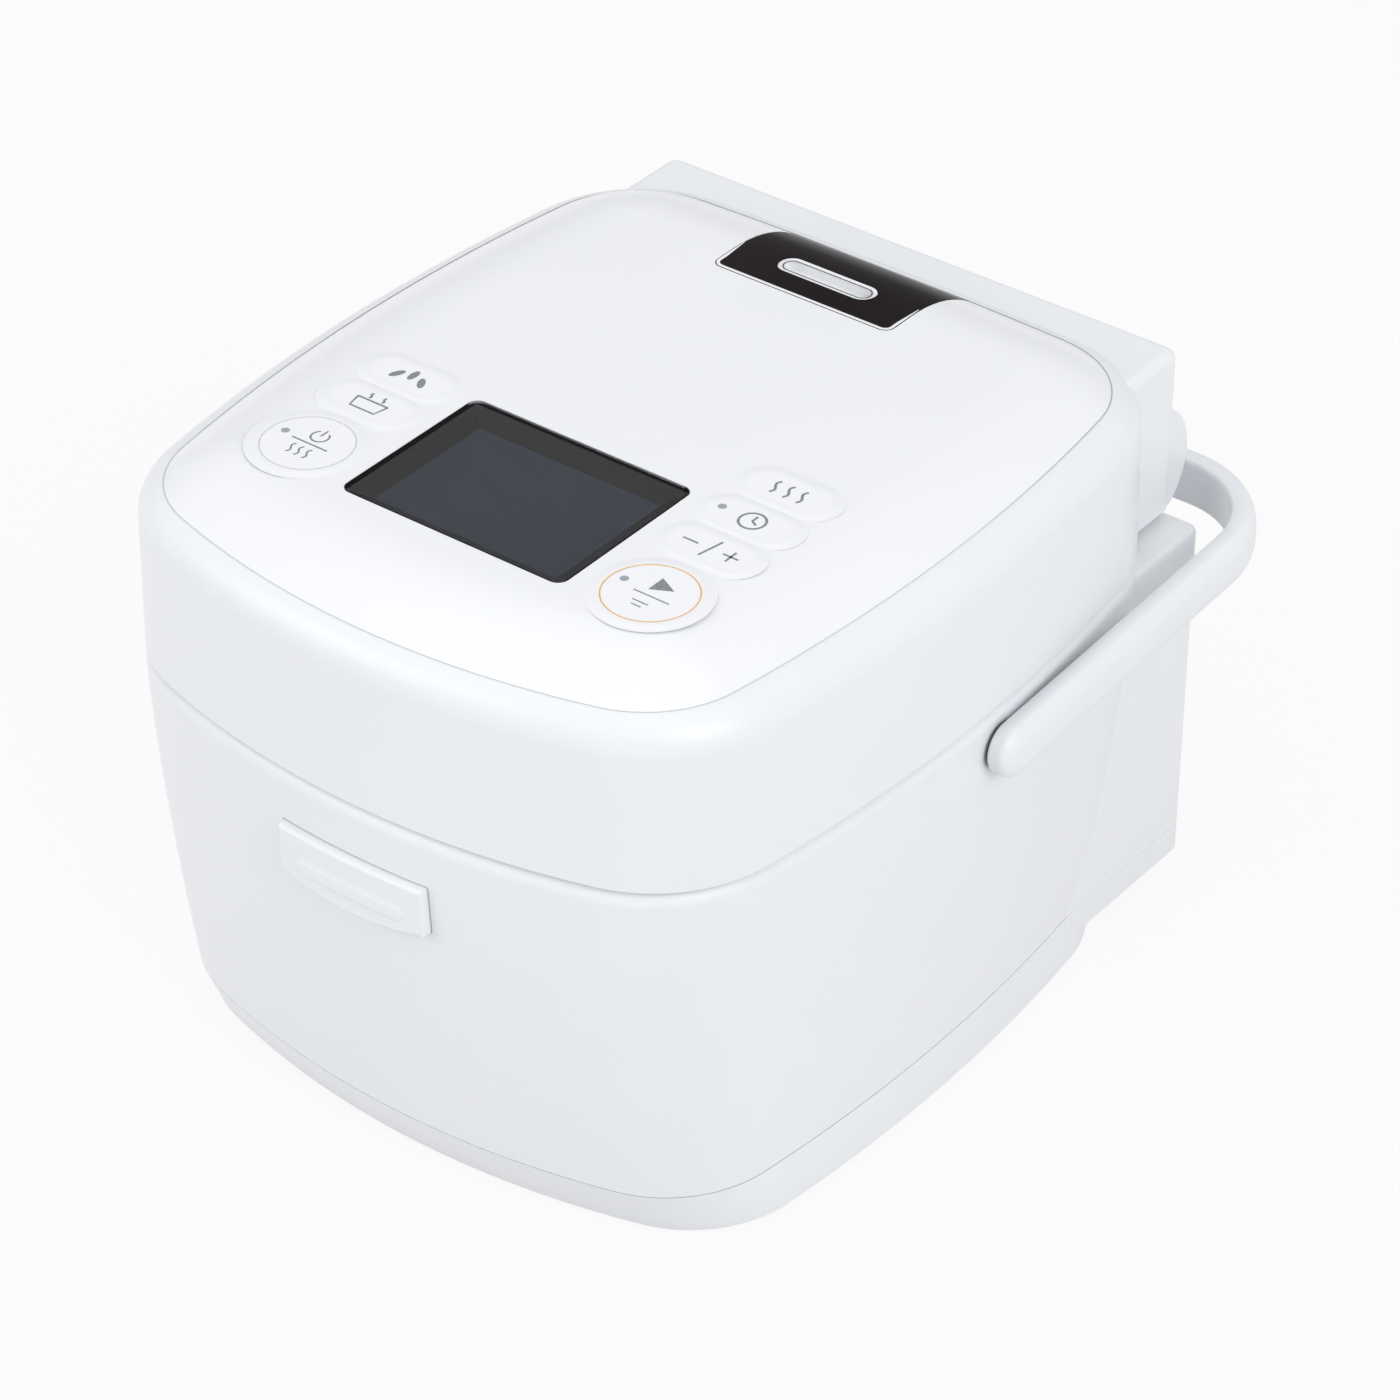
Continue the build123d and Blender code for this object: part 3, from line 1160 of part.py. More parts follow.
def make_parts():
    """Every piece of the cooker, by name."""
    parts = {
        "body_shell": make_body_shell(),
        "base_cover": make_base_cover(),
        "feet": make_feet(),
        "base_screws": make_base_screws(),
        "deck": make_deck(),
        "inner_case": make_inner_case(),
        "inner_pot": make_inner_pot(),
        "coil_base": make_coil_base(),
        "induction_coil": make_induction_coil(),
        "ferrite_bars": make_ferrite_bars(),
        "sensor_holder": make_sensor_holder(),
        "sensor_cap": make_sensor_cap(),
        "sensor_spring": make_sensor_spring(),
        "power_board": make_power_board(),
        "heat_sink": make_heat_sink(),
        "board_parts": make_board_parts(),
        "fan_frame": make_fan_frame(),
        "fan_rotor": make_fan_rotor(),
        "cord_outlet": make_cord_outlet(),
        "open_button": make_open_button(),
        "button_guide": make_button_guide(),
        "button_spring": make_button_spring(),
        "latch_hook": make_latch_hook(),
        "latch_pin": make_latch_pin(),
        "handle": make_handle(),
        "hinge_posts": make_hinge_posts(),
        "hinge_pins": make_hinge_pins(),
        "hinge_springs": make_hinge_springs(),
        "lid_shell": make_lid_shell(),
        "lid_panel": make_lid_panel(),
        "display_window": make_display_window(),
        "display_bezel": make_display_bezel(),
        "lcd_module": make_lcd_module(),
        "display_board": make_display_board(),
        "key_switches": make_key_switches(),
        "lid_inner_cover": make_lid_inner_cover(),
        "lid_heat_plate": make_lid_heat_plate(),
        "lid_sensor": make_lid_sensor(),
        "inner_lid": make_inner_lid(),
        "lid_gasket": make_lid_gasket(),
        "steam_gasket": make_steam_gasket(),
        "steam_duct": make_steam_duct(),
        "steam_well": make_steam_well(),
        "steam_cap": make_steam_cap(),
        "steam_grille": make_steam_grille(),
        "lid_catch": make_lid_catch(),
    }
    parts.update(make_keys())
    return parts


os.makedirs("parts", exist_ok=True)
for node, solid in make_parts().items():
    export_step(Pos(0, FRAME_Y, 0) * solid, f"parts/{node}.step")
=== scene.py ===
import math

import bmesh
import bpy
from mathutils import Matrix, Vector
from mathutils.geometry import convex_hull_2d


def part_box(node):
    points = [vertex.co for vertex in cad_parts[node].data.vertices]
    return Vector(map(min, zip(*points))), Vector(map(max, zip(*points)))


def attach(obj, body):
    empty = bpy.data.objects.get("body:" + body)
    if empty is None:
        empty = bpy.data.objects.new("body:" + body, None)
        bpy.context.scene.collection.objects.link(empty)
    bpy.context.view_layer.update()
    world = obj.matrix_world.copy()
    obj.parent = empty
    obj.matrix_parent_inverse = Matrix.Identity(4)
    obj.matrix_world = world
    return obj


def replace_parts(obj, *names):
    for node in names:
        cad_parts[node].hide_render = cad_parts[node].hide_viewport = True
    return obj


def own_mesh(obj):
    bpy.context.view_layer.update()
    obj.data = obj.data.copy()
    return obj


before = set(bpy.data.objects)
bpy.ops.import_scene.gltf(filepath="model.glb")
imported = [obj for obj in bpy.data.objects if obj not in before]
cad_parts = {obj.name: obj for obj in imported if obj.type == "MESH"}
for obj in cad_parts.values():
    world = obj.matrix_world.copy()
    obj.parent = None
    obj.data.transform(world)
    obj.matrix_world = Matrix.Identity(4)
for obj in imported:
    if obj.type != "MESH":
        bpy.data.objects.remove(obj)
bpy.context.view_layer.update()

# Casing: body, base ring, lid wall, carry handle and open button are injection moulded in white ABS.
# The tool's fine spark texture leaves a satin skin, and each piece keeps its own edge where it meets
# the next, so the seams show as thin dark lines.


def moulded(name, low, high, smooth, rough, grain, depth):
    """Moulded plastic: tone between low and high, gloss between smooth and rough, grain per metre."""
    finish = bpy.data.materials.new(name)
    finish.use_nodes = True
    nodes = finish.node_tree.nodes
    links = finish.node_tree.links
    shader = nodes["Principled BSDF"]
    place = nodes.new("ShaderNodeTexCoord")
    flow = nodes.new("ShaderNodeTexNoise")
    flow.inputs["Scale"].default_value = 11
    flow.inputs["Detail"].default_value = 3
    tone = nodes.new("ShaderNodeValToRGB")
    tone.color_ramp.elements[0].position = 0.3
    tone.color_ramp.elements[0].color = (*low, 1)
    tone.color_ramp.elements[1].position = 0.7
    tone.color_ramp.elements[1].color = (*high, 1)
    skin = nodes.new("ShaderNodeTexNoise")
    skin.inputs["Scale"].default_value = grain
    skin.inputs["Detail"].default_value = 2
    gloss = nodes.new("ShaderNodeMapRange")
    gloss.inputs["To Min"].default_value = smooth
    gloss.inputs["To Max"].default_value = rough
    relief = nodes.new("ShaderNodeBump")
    relief.inputs["Strength"].default_value = 0.4
    relief.inputs["Distance"].default_value = depth
    links.new(place.outputs["Object"], flow.inputs["Vector"])
    links.new(place.outputs["Object"], skin.inputs["Vector"])
    links.new(flow.outputs["Fac"], tone.inputs["Fac"])
    links.new(tone.outputs["Color"], shader.inputs["Base Color"])
    links.new(flow.outputs["Fac"], gloss.inputs["Value"])
    links.new(gloss.outputs["Result"], shader.inputs["Roughness"])
    links.new(skin.outputs["Fac"], relief.inputs["Height"])
    links.new(relief.outputs["Normal"], shader.inputs["Normal"])
    return finish


def dress(finish, *names):
    """Gives the CAD pieces of those names a finish."""
    for name in names:
        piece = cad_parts[name]
        if not piece.material_slots:
            piece.data.materials.append(finish)
        for place in piece.material_slots:
            place.material = finish


satin_white = moulded(
    "satin_white_abs", (0.80, 0.812, 0.838), (0.822, 0.832, 0.854), 0.30, 0.38, 2600, 0.00002
)
satin_white.node_tree.nodes["Principled BSDF"].inputs["Specular IOR Level"].default_value = 0.45
dress(satin_white, "body_shell", "lid_shell", "open_button", "base_cover")

# Carry handle: one U-shaped strap moulded in the same white ABS, domed on the outside and flat where it lies
# along the body. Its round front ends turn on two short pins that sit in the body's sides.
strap_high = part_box("handle")[1]
strap_half = 0.008
strap_thick = 0.0075
strap_bend = 0.0335
strap_inner = strap_high.x - strap_thick
strap_reach = 0.1389
strap_pivot = Vector((0, 0.0028, 0.115))
strap_pitch = math.radians(2.9)
strap_sides = 40
dome_width = 0.0064
dome_drop = 0.0036
heel_width = 0.0016
heel_drop = 0.0014
end_steps = 14
run_steps = 24
pin_radius = 0.005
pin_in_strap = 0.0025
pin_in_body = 0.0083
pin_sides = 32
weld_gap = 0.000002


def settle(name, shape, finish, body):
    """Turns a finished bmesh into a piece that rides on a body."""
    mesh = bpy.data.meshes.new(name)
    shape.to_mesh(mesh)
    shape.free()
    piece = bpy.data.objects.new(name, mesh)
    bpy.context.scene.collection.objects.link(piece)
    mesh.materials.append(finish)
    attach(piece, body)
    return piece


def join_rows(shape, rows, closed=True, smooth=True, turned=False):
    """Joins rows of points by four-sided faces. Closed rows run all the way round; turned faces look back."""
    for first, second in zip(rows, rows[1:]):
        count = len(first)
        for i in range(count if closed else count - 1):
            j = (i + 1) % count
            corners = (first[i], first[j], second[j], second[i])
            if turned:
                corners = (first[i], second[i], second[j], first[j])
            shape.faces.new(corners).smooth = smooth


def hoop(shape, x, radius, sides):
    """Points on a circle round the handle's pivot line, at one place along it."""
    points = []
    for i in range(sides):
        angle = math.tau * i / sides
        y = strap_pivot.y + radius * math.cos(angle)
        z = strap_pivot.z + radius * math.sin(angle)
        points.append(shape.verts.new((x, y, z)))
    return points


def rounded(edge, width):
    """How far a rounded edge falls away: 1 at the edge itself, none from a width inwards."""
    inward = min(edge / width, 1)
    return 1 - math.sqrt(1 - (1 - inward) ** 2)


# stations along the strap's inner face: place, outward direction, and how far back in the round end
stations = []
for i in range(end_steps + 1):
    y = -strap_half * math.cos(math.pi / 2 * i / end_steps)
    stations.append((strap_inner, y, 1, 0, y))
for i in range(1, run_steps + 1):
    stations.append((strap_inner, (strap_reach - strap_bend) * i / run_steps, 1, 0, 0))
for i in range(1, run_steps + 1):
    angle = math.pi / 2 * i / run_steps
    bend_x = strap_high.x - strap_bend + (strap_bend - strap_thick) * math.cos(angle)
    bend_y = strap_reach - strap_bend + (strap_bend - strap_thick) * math.sin(angle)
    stations.append((bend_x, bend_y, math.cos(angle), math.sin(angle), 0))
stations += [(-x, y, -away_x, away_y, end) for x, y, away_x, away_y, end in reversed(stations)]
strap = bmesh.new()
strap_loops = []
for x, y, away_x, away_y, end in stations:
    tall = math.sqrt(max(strap_half ** 2 - end ** 2, 0))
    loop = []
    for step in range(strap_sides):
        turn = math.tau * step / strap_sides
        up = tall * math.cos(turn)
        edge = strap_half - math.hypot(end, up)
        if math.sin(turn) >= 0:
            out = strap_thick - dome_drop * rounded(edge, dome_width)
        else:
            out = heel_drop * rounded(edge, heel_width)
        flat_x = x + away_x * out
        flat_y = y + away_y * out
        pitched_y = strap_pivot.y + flat_y * math.cos(strap_pitch) - up * math.sin(strap_pitch)
        pitched_z = strap_pivot.z + flat_y * math.sin(strap_pitch) + up * math.cos(strap_pitch)
        loop.append(strap.verts.new((flat_x, pitched_y, pitched_z)))
    strap_loops.append(loop)
join_rows(strap, strap_loops, turned=True)
for side in (-1, 1):
    pin_root = hoop(strap, side * (strap_inner + pin_in_strap), pin_radius, pin_sides)
    pin_tip = hoop(strap, side * (strap_inner - pin_in_body), pin_radius, pin_sides)
    join_rows(strap, [pin_root, pin_tip])
    strap.faces.new(pin_tip)
bmesh.ops.remove_doubles(strap, verts=strap.verts, dist=weld_gap)
bmesh.ops.recalc_face_normals(strap, faces=strap.faces)
for face in strap.faces:
    face.smooth = len(face.verts) < pin_sides
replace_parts(settle("carry_strap", strap, satin_white, "carry_handle"), "handle")

# Pivot covers: a shallow white disc closes the round seat in each side of the body, flush with the wall, and
# the handle's pin goes through its middle. Each is moulded and clipped into its seat.
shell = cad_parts["body_shell"]
cover_reach = 0.01155
cover_hole = 0.0056
cover_steps = 8
cover_sides = 72
clear_of_shell = 0.2
wall_marks = (-0.0145, -0.0122, 0.0122, 0.0145)


def wall_at(y, z):
    """Where the wall would run across the seat: a smooth line through the wall ahead of it and behind it."""
    wall = 0
    for mark in wall_marks:
        start = Vector((clear_of_shell, strap_pivot.y + mark, z))
        found = shell.ray_cast(start, Vector((-1, 0, 0)))[1]
        weight = 1
        for other in wall_marks:
            if other != mark:
                weight *= (y - strap_pivot.y - other) / (mark - other)
        wall += weight * found.x
    return wall


covers = bmesh.new()
for side in (-1, 1):
    cover_rings = []
    for step in range(cover_steps + 1):
        radius = cover_hole + (cover_reach - cover_hole) * step / cover_steps
        ring = []
        for i in range(cover_sides):
            y = strap_pivot.y + radius * math.cos(math.tau * i / cover_sides)
            z = strap_pivot.z + radius * math.sin(math.tau * i / cover_sides)
            ring.append(covers.verts.new((side * wall_at(y, z), y, z)))
        cover_rings.append(ring)
    join_rows(covers, cover_rings[::side])
settle("pivot_covers", covers, satin_white, "base")

# Pivot washers: a thin ring behind each of the handle's round ends keeps it from rubbing the body. Its dark
# grey is painted shade, standing for the shadowed gap between the strap's end and the body, and it turns with
# the handle.
washer_sides = 64
# the ring's section, point by point: radius, and depth behind the strap
washer_section = (
    (0.0052, 0.00005), (0.0052, 0.0003), (0.007, 0.0003), (0.0073, 0.00018), (0.007, 0.00005),
)
washers = bmesh.new()
for side in (-1, 1):
    hoops = []
    for radius, inset in washer_section:
        hoops.append(hoop(washers, side * (strap_inner - inset), radius, washer_sides))
    join_rows(washers, hoops + hoops[:1], smooth=False)
bmesh.ops.recalc_face_normals(washers, faces=washers.faces)
# The washers' dark grey is painted shade for the gap behind each strap end.
washer_painted_shade = moulded("washer_painted_shade", (0.09, 0.085, 0.085), (0.13, 0.125, 0.125), 0.75, 0.9, 1500, 0.00008)
settle("pivot_washer_shade", washers, washer_painted_shade, "carry_handle")

# Feet, cord outlet and base screws: the feet and the outlet's bush are grey rubber pressed into the
# moulding, and four cross-head screws pull the base cover up against the body.
dark_rubber = moulded("dark_grey_rubber", (0.17, 0.17, 0.178), (0.235, 0.235, 0.245), 0.62, 0.8, 900, 0.00006)
dress(dark_rubber, "feet", "cord_outlet")


def brushed(name, low, high, smooth, rough, stretch):
    """Metal with fine drawn lines; stretch holds the line count per metre along each axis."""
    finish = bpy.data.materials.new(name)
    finish.use_nodes = True
    nodes = finish.node_tree.nodes
    links = finish.node_tree.links
    shader = nodes["Principled BSDF"]
    shader.inputs["Metallic"].default_value = 1
    place = nodes.new("ShaderNodeTexCoord")
    drawn = nodes.new("ShaderNodeMapping")
    drawn.inputs["Scale"].default_value = stretch
    lines = nodes.new("ShaderNodeTexNoise")
    lines.inputs["Scale"].default_value = 1
    lines.inputs["Detail"].default_value = 4
    tone = nodes.new("ShaderNodeValToRGB")
    tone.color_ramp.elements[0].position = 0.35
    tone.color_ramp.elements[0].color = (*low, 1)
    tone.color_ramp.elements[1].position = 0.65
    tone.color_ramp.elements[1].color = (*high, 1)
    gloss = nodes.new("ShaderNodeMapRange")
    gloss.inputs["To Min"].default_value = smooth
    gloss.inputs["To Max"].default_value = rough
    relief = nodes.new("ShaderNodeBump")
    relief.inputs["Strength"].default_value = 0.25
    relief.inputs["Distance"].default_value = 0.00003
    links.new(place.outputs["Object"], drawn.inputs["Vector"])
    links.new(drawn.outputs["Vector"], lines.inputs["Vector"])
    links.new(lines.outputs["Fac"], tone.inputs["Fac"])
    links.new(tone.outputs["Color"], shader.inputs["Base Color"])
    links.new(lines.outputs["Fac"], gloss.inputs["Value"])
    links.new(gloss.outputs["Result"], shader.inputs["Roughness"])
    links.new(lines.outputs["Fac"], relief.inputs["Height"])
    links.new(relief.outputs["Normal"], shader.inputs["Normal"])
    return finish


plated_steel = brushed("plated_steel", (0.46, 0.46, 0.47), (0.62, 0.62, 0.63), 0.22, 0.38, (900, 900, 120))
dress(plated_steel, "base_screws", "latch_pin", "hinge_pins")

# Deck and hinge posts: the deck is a light grey moulding that closes the body round the pot and takes
# the pot's flange; the posts stand on the body's rear ledge and carry the lid's pins.
matte_grey = moulded("light_grey_plastic", (0.55, 0.56, 0.575), (0.60, 0.61, 0.625), 0.45, 0.6, 1800, 0.00004)
dress(matte_grey, "deck")
dress(satin_white, "hinge_posts")

# Inner pot: spun aluminium with a dark non-stick coat, sprayed on and flecked with fine mineral grains. It
# hangs by its flange and lifts out once the lid is open.
pot_coat = bpy.data.materials.new("flecked_pot_coat")
pot_coat.use_nodes = True
pot_nodes = pot_coat.node_tree.nodes
pot_links = pot_coat.node_tree.links
pot_place = pot_nodes.new("ShaderNodeTexCoord")
flecks = pot_nodes.new("ShaderNodeTexVoronoi")
flecks.inputs["Scale"].default_value = 420
fleck_tone = pot_nodes.new("ShaderNodeValToRGB")
fleck_tone.color_ramp.elements[0].position = 0.09
fleck_tone.color_ramp.elements[0].color = (0.30, 0.29, 0.28, 1)
fleck_tone.color_ramp.elements[1].position = 0.16
fleck_tone.color_ramp.elements[1].color = (0.045, 0.045, 0.05, 1)
pot_links.new(pot_place.outputs["Object"], flecks.inputs["Vector"])
pot_links.new(flecks.outputs["Distance"], fleck_tone.inputs["Fac"])
pot_links.new(fleck_tone.outputs["Color"], pot_nodes["Principled BSDF"].inputs["Base Color"])
pot_grain = pot_nodes.new("ShaderNodeTexNoise")
pot_grain.inputs["Scale"].default_value = 700
pot_relief = pot_nodes.new("ShaderNodeBump")
pot_relief.inputs["Strength"].default_value = 0.3
pot_relief.inputs["Distance"].default_value = 0.00004
pot_links.new(pot_place.outputs["Object"], pot_grain.inputs["Vector"])
pot_links.new(pot_grain.outputs["Fac"], pot_relief.inputs["Height"])
pot_links.new(pot_relief.outputs["Normal"], pot_nodes["Principled BSDF"].inputs["Normal"])
pot_nodes["Principled BSDF"].inputs["Roughness"].default_value = 0.42
dress(pot_coat, "inner_pot")

# Level marks in the pot: short and long lines printed on the coat's wall in pale grey, the long ones
# for whole cups, so that the water can be measured.


def ink_and_shade(name, tone, worn):
    """Printed ink, a little uneven where the screen left less of it; it also gives the painted shade round
    the steam tray.
    """
    finish = bpy.data.materials.new(name)
    finish.use_nodes = True
    nodes = finish.node_tree.nodes
    links = finish.node_tree.links
    place = nodes.new("ShaderNodeTexCoord")
    screen = nodes.new("ShaderNodeTexNoise")
    screen.inputs["Scale"].default_value = 1600
    cover = nodes.new("ShaderNodeValToRGB")
    cover.color_ramp.elements[0].position = 0.25
    cover.color_ramp.elements[0].color = (*worn, 1)
    cover.color_ramp.elements[1].position = 0.6
    cover.color_ramp.elements[1].color = (*tone, 1)
    links.new(place.outputs["Object"], screen.inputs["Vector"])
    links.new(screen.outputs["Fac"], cover.inputs["Fac"])
    links.new(cover.outputs["Color"], nodes["Principled BSDF"].inputs["Base Color"])
    nodes["Principled BSDF"].inputs["Roughness"].default_value = 0.4
    return finish


pot_low, pot_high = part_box("inner_pot")
pot_axis = (pot_low + pot_high) / 2
pot_wall = 0.0839
level_count = 9
level_first = 0.066
level_pitch = 0.005
level_middle = math.radians(62)
long_turn = 0.16
short_turn = 0.09
line_height = 0.0007
line_steps = 12
pale_ink = ink_and_shade("pale_grey_ink", (0.62, 0.62, 0.63), (0.42, 0.42, 0.43))
levels = bmesh.new()
for count in range(level_count):
    height = level_first + count * level_pitch
    turn = long_turn if count % 2 == 0 else short_turn
    low_edge = []
    high_edge = []
    for i in range(line_steps + 1):
        angle = level_middle - turn / 2 + turn * i / line_steps
        x = pot_axis.x + pot_wall * math.cos(angle)
        y = pot_axis.y + pot_wall * math.sin(angle)
        low_edge.append(levels.verts.new((x, y, height)))
        high_edge.append(levels.verts.new((x, y, height + line_height)))
    join_rows(levels, [high_edge, low_edge], closed=False, smooth=False)
settle("pot_level_marks", levels, pale_ink, "base")

# Bowl, coil and sensor under the pot: a black heat-proof bowl, a coil of varnished wire wound flat on
# its carrier, ferrite bars below it, and a sprung aluminium button that feels the pot's bottom.
matte_black = moulded(
    "black_moulding", (0.022, 0.022, 0.024), (0.034, 0.034, 0.037), 0.4, 0.55, 1800, 0.00004
)
dress(matte_black, "inner_case", "coil_base", "sensor_holder")
turned_aluminium = brushed(
    "turned_aluminium", (0.60, 0.60, 0.61), (0.74, 0.74, 0.75), 0.3, 0.45, (600, 600, 600)
)
dress(turned_aluminium, "sensor_cap", "lid_heat_plate", "heat_sink")
ferrite = moulded("sintered_ferrite", (0.045, 0.045, 0.05), (0.07, 0.07, 0.075), 0.5, 0.7, 1200, 0.0001)
dress(ferrite, "ferrite_bars")


def wound(name, low, high, turns, metal):
    """Wire laid flat in even turns round the pot's axis, so many turns per metre of radius."""
    finish = bpy.data.materials.new(name)
    finish.use_nodes = True
    nodes = finish.node_tree.nodes
    links = finish.node_tree.links
    shader = nodes["Principled BSDF"]
    shader.inputs["Metallic"].default_value = metal
    shader.inputs["Roughness"].default_value = 0.34
    place = nodes.new("ShaderNodeTexCoord")
    shift = nodes.new("ShaderNodeMapping")
    shift.inputs["Location"].default_value = (-pot_axis.x, -pot_axis.y, 0)
    wire = nodes.new("ShaderNodeTexWave")
    wire.wave_type = "RINGS"
    wire.rings_direction = "Z"
    # the ring pattern has 10 / pi rings to each unit of its scale
    wire.inputs["Scale"].default_value = turns * math.pi / 10
    wire.inputs["Distortion"].default_value = 0
    tone = nodes.new("ShaderNodeValToRGB")
    tone.color_ramp.elements[0].color = (*low, 1)
    tone.color_ramp.elements[1].color = (*high, 1)
    relief = nodes.new("ShaderNodeBump")
    relief.inputs["Strength"].default_value = 0.9
    relief.inputs["Distance"].default_value = 0.0004
    links.new(place.outputs["Object"], shift.inputs["Vector"])
    links.new(shift.outputs["Vector"], wire.inputs["Vector"])
    # The wire's tone follows its relief, paler on each turn's crest and darker between turns: painted shade
    # in the grooves.
    links.new(wire.outputs["Fac"], tone.inputs["Fac"])
    links.new(tone.outputs["Color"], shader.inputs["Base Color"])
    links.new(wire.outputs["Fac"], relief.inputs["Height"])
    links.new(relief.outputs["Normal"], shader.inputs["Normal"])
    return finish


dress(wound("varnished_copper", (0.30, 0.12, 0.05), (0.62, 0.30, 0.14), 420, 0.8), "induction_coil")

# Sensor spring: round steel wire wound in open turns, closed flat at both ends. It stands on the coil's
# carrier and pushes the sensor up against the pot.


def wind(shape, start, end, radius, wire, turns):
    """Adds a coil of wire to a bmesh, between two points; the first and last turn lie flat."""
    turn_steps = 36
    wire_sides = 10
    flat_turn = 0.75
    run = end - start
    ahead = run.normalized()
    across = Vector((0, 0, 1)) if abs(ahead.z) < 0.5 else Vector((1, 0, 0))
    beside = ahead.cross(across)
    steps = turn_steps * turns
    loops = []
    for i in range(steps + 1):
        turned = turns * i / steps
        risen = min(max((turned - flat_turn) / (turns - 2 * flat_turn), 0), 1)
        angle = math.tau * turned
        out = across * math.cos(angle) + beside * math.sin(angle)
        middle = start + ahead * (wire + (run.length - 2 * wire) * risen) + out * radius
        loop = []
        for k in range(wire_sides):
            round_wire = math.tau * k / wire_sides
            reach = out * math.cos(round_wire) + ahead * math.sin(round_wire)
            loop.append(shape.verts.new(middle + reach * wire))
        loops.append(loop)
    join_rows(shape, loops)
    shape.faces.new(loops[0])
    shape.faces.new(loops[-1])
    bmesh.ops.recalc_face_normals(shape, faces=shape.faces)


sensor_low, sensor_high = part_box("sensor_spring")
sensor_foot = Vector((pot_axis.x, pot_axis.y, sensor_low.z))
sensor_head = Vector((pot_axis.x, pot_axis.y, sensor_high.z))
sensor_wire = 0.0007
sensor_radius = (sensor_high.x - sensor_low.x) / 2 - sensor_wire
sensor_turns = 5
sensor_coil = bmesh.new()
wind(sensor_coil, sensor_foot, sensor_head, sensor_radius, sensor_wire, sensor_turns)
spring_piece = settle("sensor_coil_spring", sensor_coil, plated_steel, "base")
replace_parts(spring_piece, "sensor_spring")
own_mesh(spring_piece)

# Power board and fan on the base: green fibreglass with tinned tracks, a finned aluminium sink, cans and
# a choke, and a black fan that draws air in through the base slots.
circuit_green = bpy.data.materials.new("green_circuit_board")
circuit_green.use_nodes = True
board_nodes = circuit_green.node_tree.nodes
board_links = circuit_green.node_tree.links
board_place = board_nodes.new("ShaderNodeTexCoord")
tracks = board_nodes.new("ShaderNodeTexBrick")
tracks.inputs["Scale"].default_value = 130
tracks.inputs["Mortar Size"].default_value = 0.06
tracks.inputs["Color1"].default_value = (0.018, 0.10, 0.05, 1)
tracks.inputs["Color2"].default_value = (0.022, 0.13, 0.065, 1)
tracks.inputs["Mortar"].default_value = (0.05, 0.22, 0.11, 1)
board_links.new(board_place.outputs["Object"], tracks.inputs["Vector"])
board_links.new(tracks.outputs["Color"], board_nodes["Principled BSDF"].inputs["Base Color"])
board_nodes["Principled BSDF"].inputs["Roughness"].default_value = 0.35
dress(circuit_green, "power_board", "display_board")
dress(matte_black, "board_parts", "fan_frame", "fan_rotor")

# Thumb ridge on the open button: a soft ramp moulded along the face, so that a thumb finds the button. It is
# of one piece with the button and goes in with it.
ridge_half = 0.0195
ridge_height = 0.100
ridge_fade = 0.003
ridge_steps = 40
tip_height = 0.4
face_bow = 0.258
face_front = -0.1412
# the ramp's section, from top to bottom: height from its middle, and how far it stands out
ramp = (
    (0.0038, 0.00001), (0.0030, 0.00007), (0.0024, 0.0002), (0.0019, 0.00037), (0.0014, 0.00048),
    (0.0008, 0.000503), (-0.0008, 0.000503), (-0.0014, 0.00047), (-0.0019, 0.0003), (-0.0024, 0.00011),
    (-0.0029, 0.00001),
)
ridge = bmesh.new()
ridge_rows = []
for i in range(ridge_steps + 1):
    x = ridge_half * (2 * i / ridge_steps - 1)
    left_over = min((ridge_half - abs(x)) / ridge_fade, 1)
    swell = left_over * left_over * (3 - 2 * left_over)
    face_y = face_front + face_bow - math.sqrt(face_bow ** 2 - x ** 2)
    row = []
    for up, proud in ramp:
        z = ridge_height + up * (tip_height + (1 - tip_height) * swell)
        row.append(ridge.verts.new((x, face_y - proud * swell, z)))
    ridge_rows.append(row)
join_rows(ridge, ridge_rows, closed=False)
bmesh.ops.recalc_face_normals(ridge, faces=ridge.faces)
settle("button_thumb_ridge", ridge, satin_white, "button")

# Open button's works: guide and latch are black acetal, the spring is steel wire, and the pin is a plain
# plated rod in two ears.
dress(matte_black, "button_guide", "latch_hook", "lid_catch")
button_low, button_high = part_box("button_spring")
button_middle = (button_low + button_high) / 2
button_tail = Vector((button_middle.x, button_high.y, button_middle.z))
button_head = Vector((button_middle.x, button_low.y, button_middle.z))
button_wire = 0.0006
button_radius = (button_high.x - button_low.x) / 2 - button_wire
button_turns = 6
button_coil = bmesh.new()
wind(button_coil, button_tail, button_head, button_radius, button_wire, button_turns)
return_spring = settle("button_coil_spring", button_coil, plated_steel, "base")
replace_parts(return_spring, "button_spring")
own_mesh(return_spring)

# Hinge springs: two short torsion springs of round steel wire on the lid's pins. They lift the lid when the
# latch lets go.
lift_low, lift_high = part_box("hinge_springs")
lift_middle = (lift_low + lift_high) / 2
lift_length = 0.014
lift_wire = 0.0008
lift_radius = (lift_high.z - lift_low.z) / 2 - lift_wire
lift_turns = 8
lift_coils = bmesh.new()
for side in (-1, 1):
    outer_end = Vector((side * lift_high.x, lift_middle.y, lift_middle.z))
    inner_end = Vector((side * (lift_high.x - lift_length), lift_middle.y, lift_middle.z))
    wind(lift_coils, inner_end, outer_end, lift_radius, lift_wire, lift_turns)
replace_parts(settle("lift_coil_springs", lift_coils, plated_steel, "lid"), "hinge_springs")

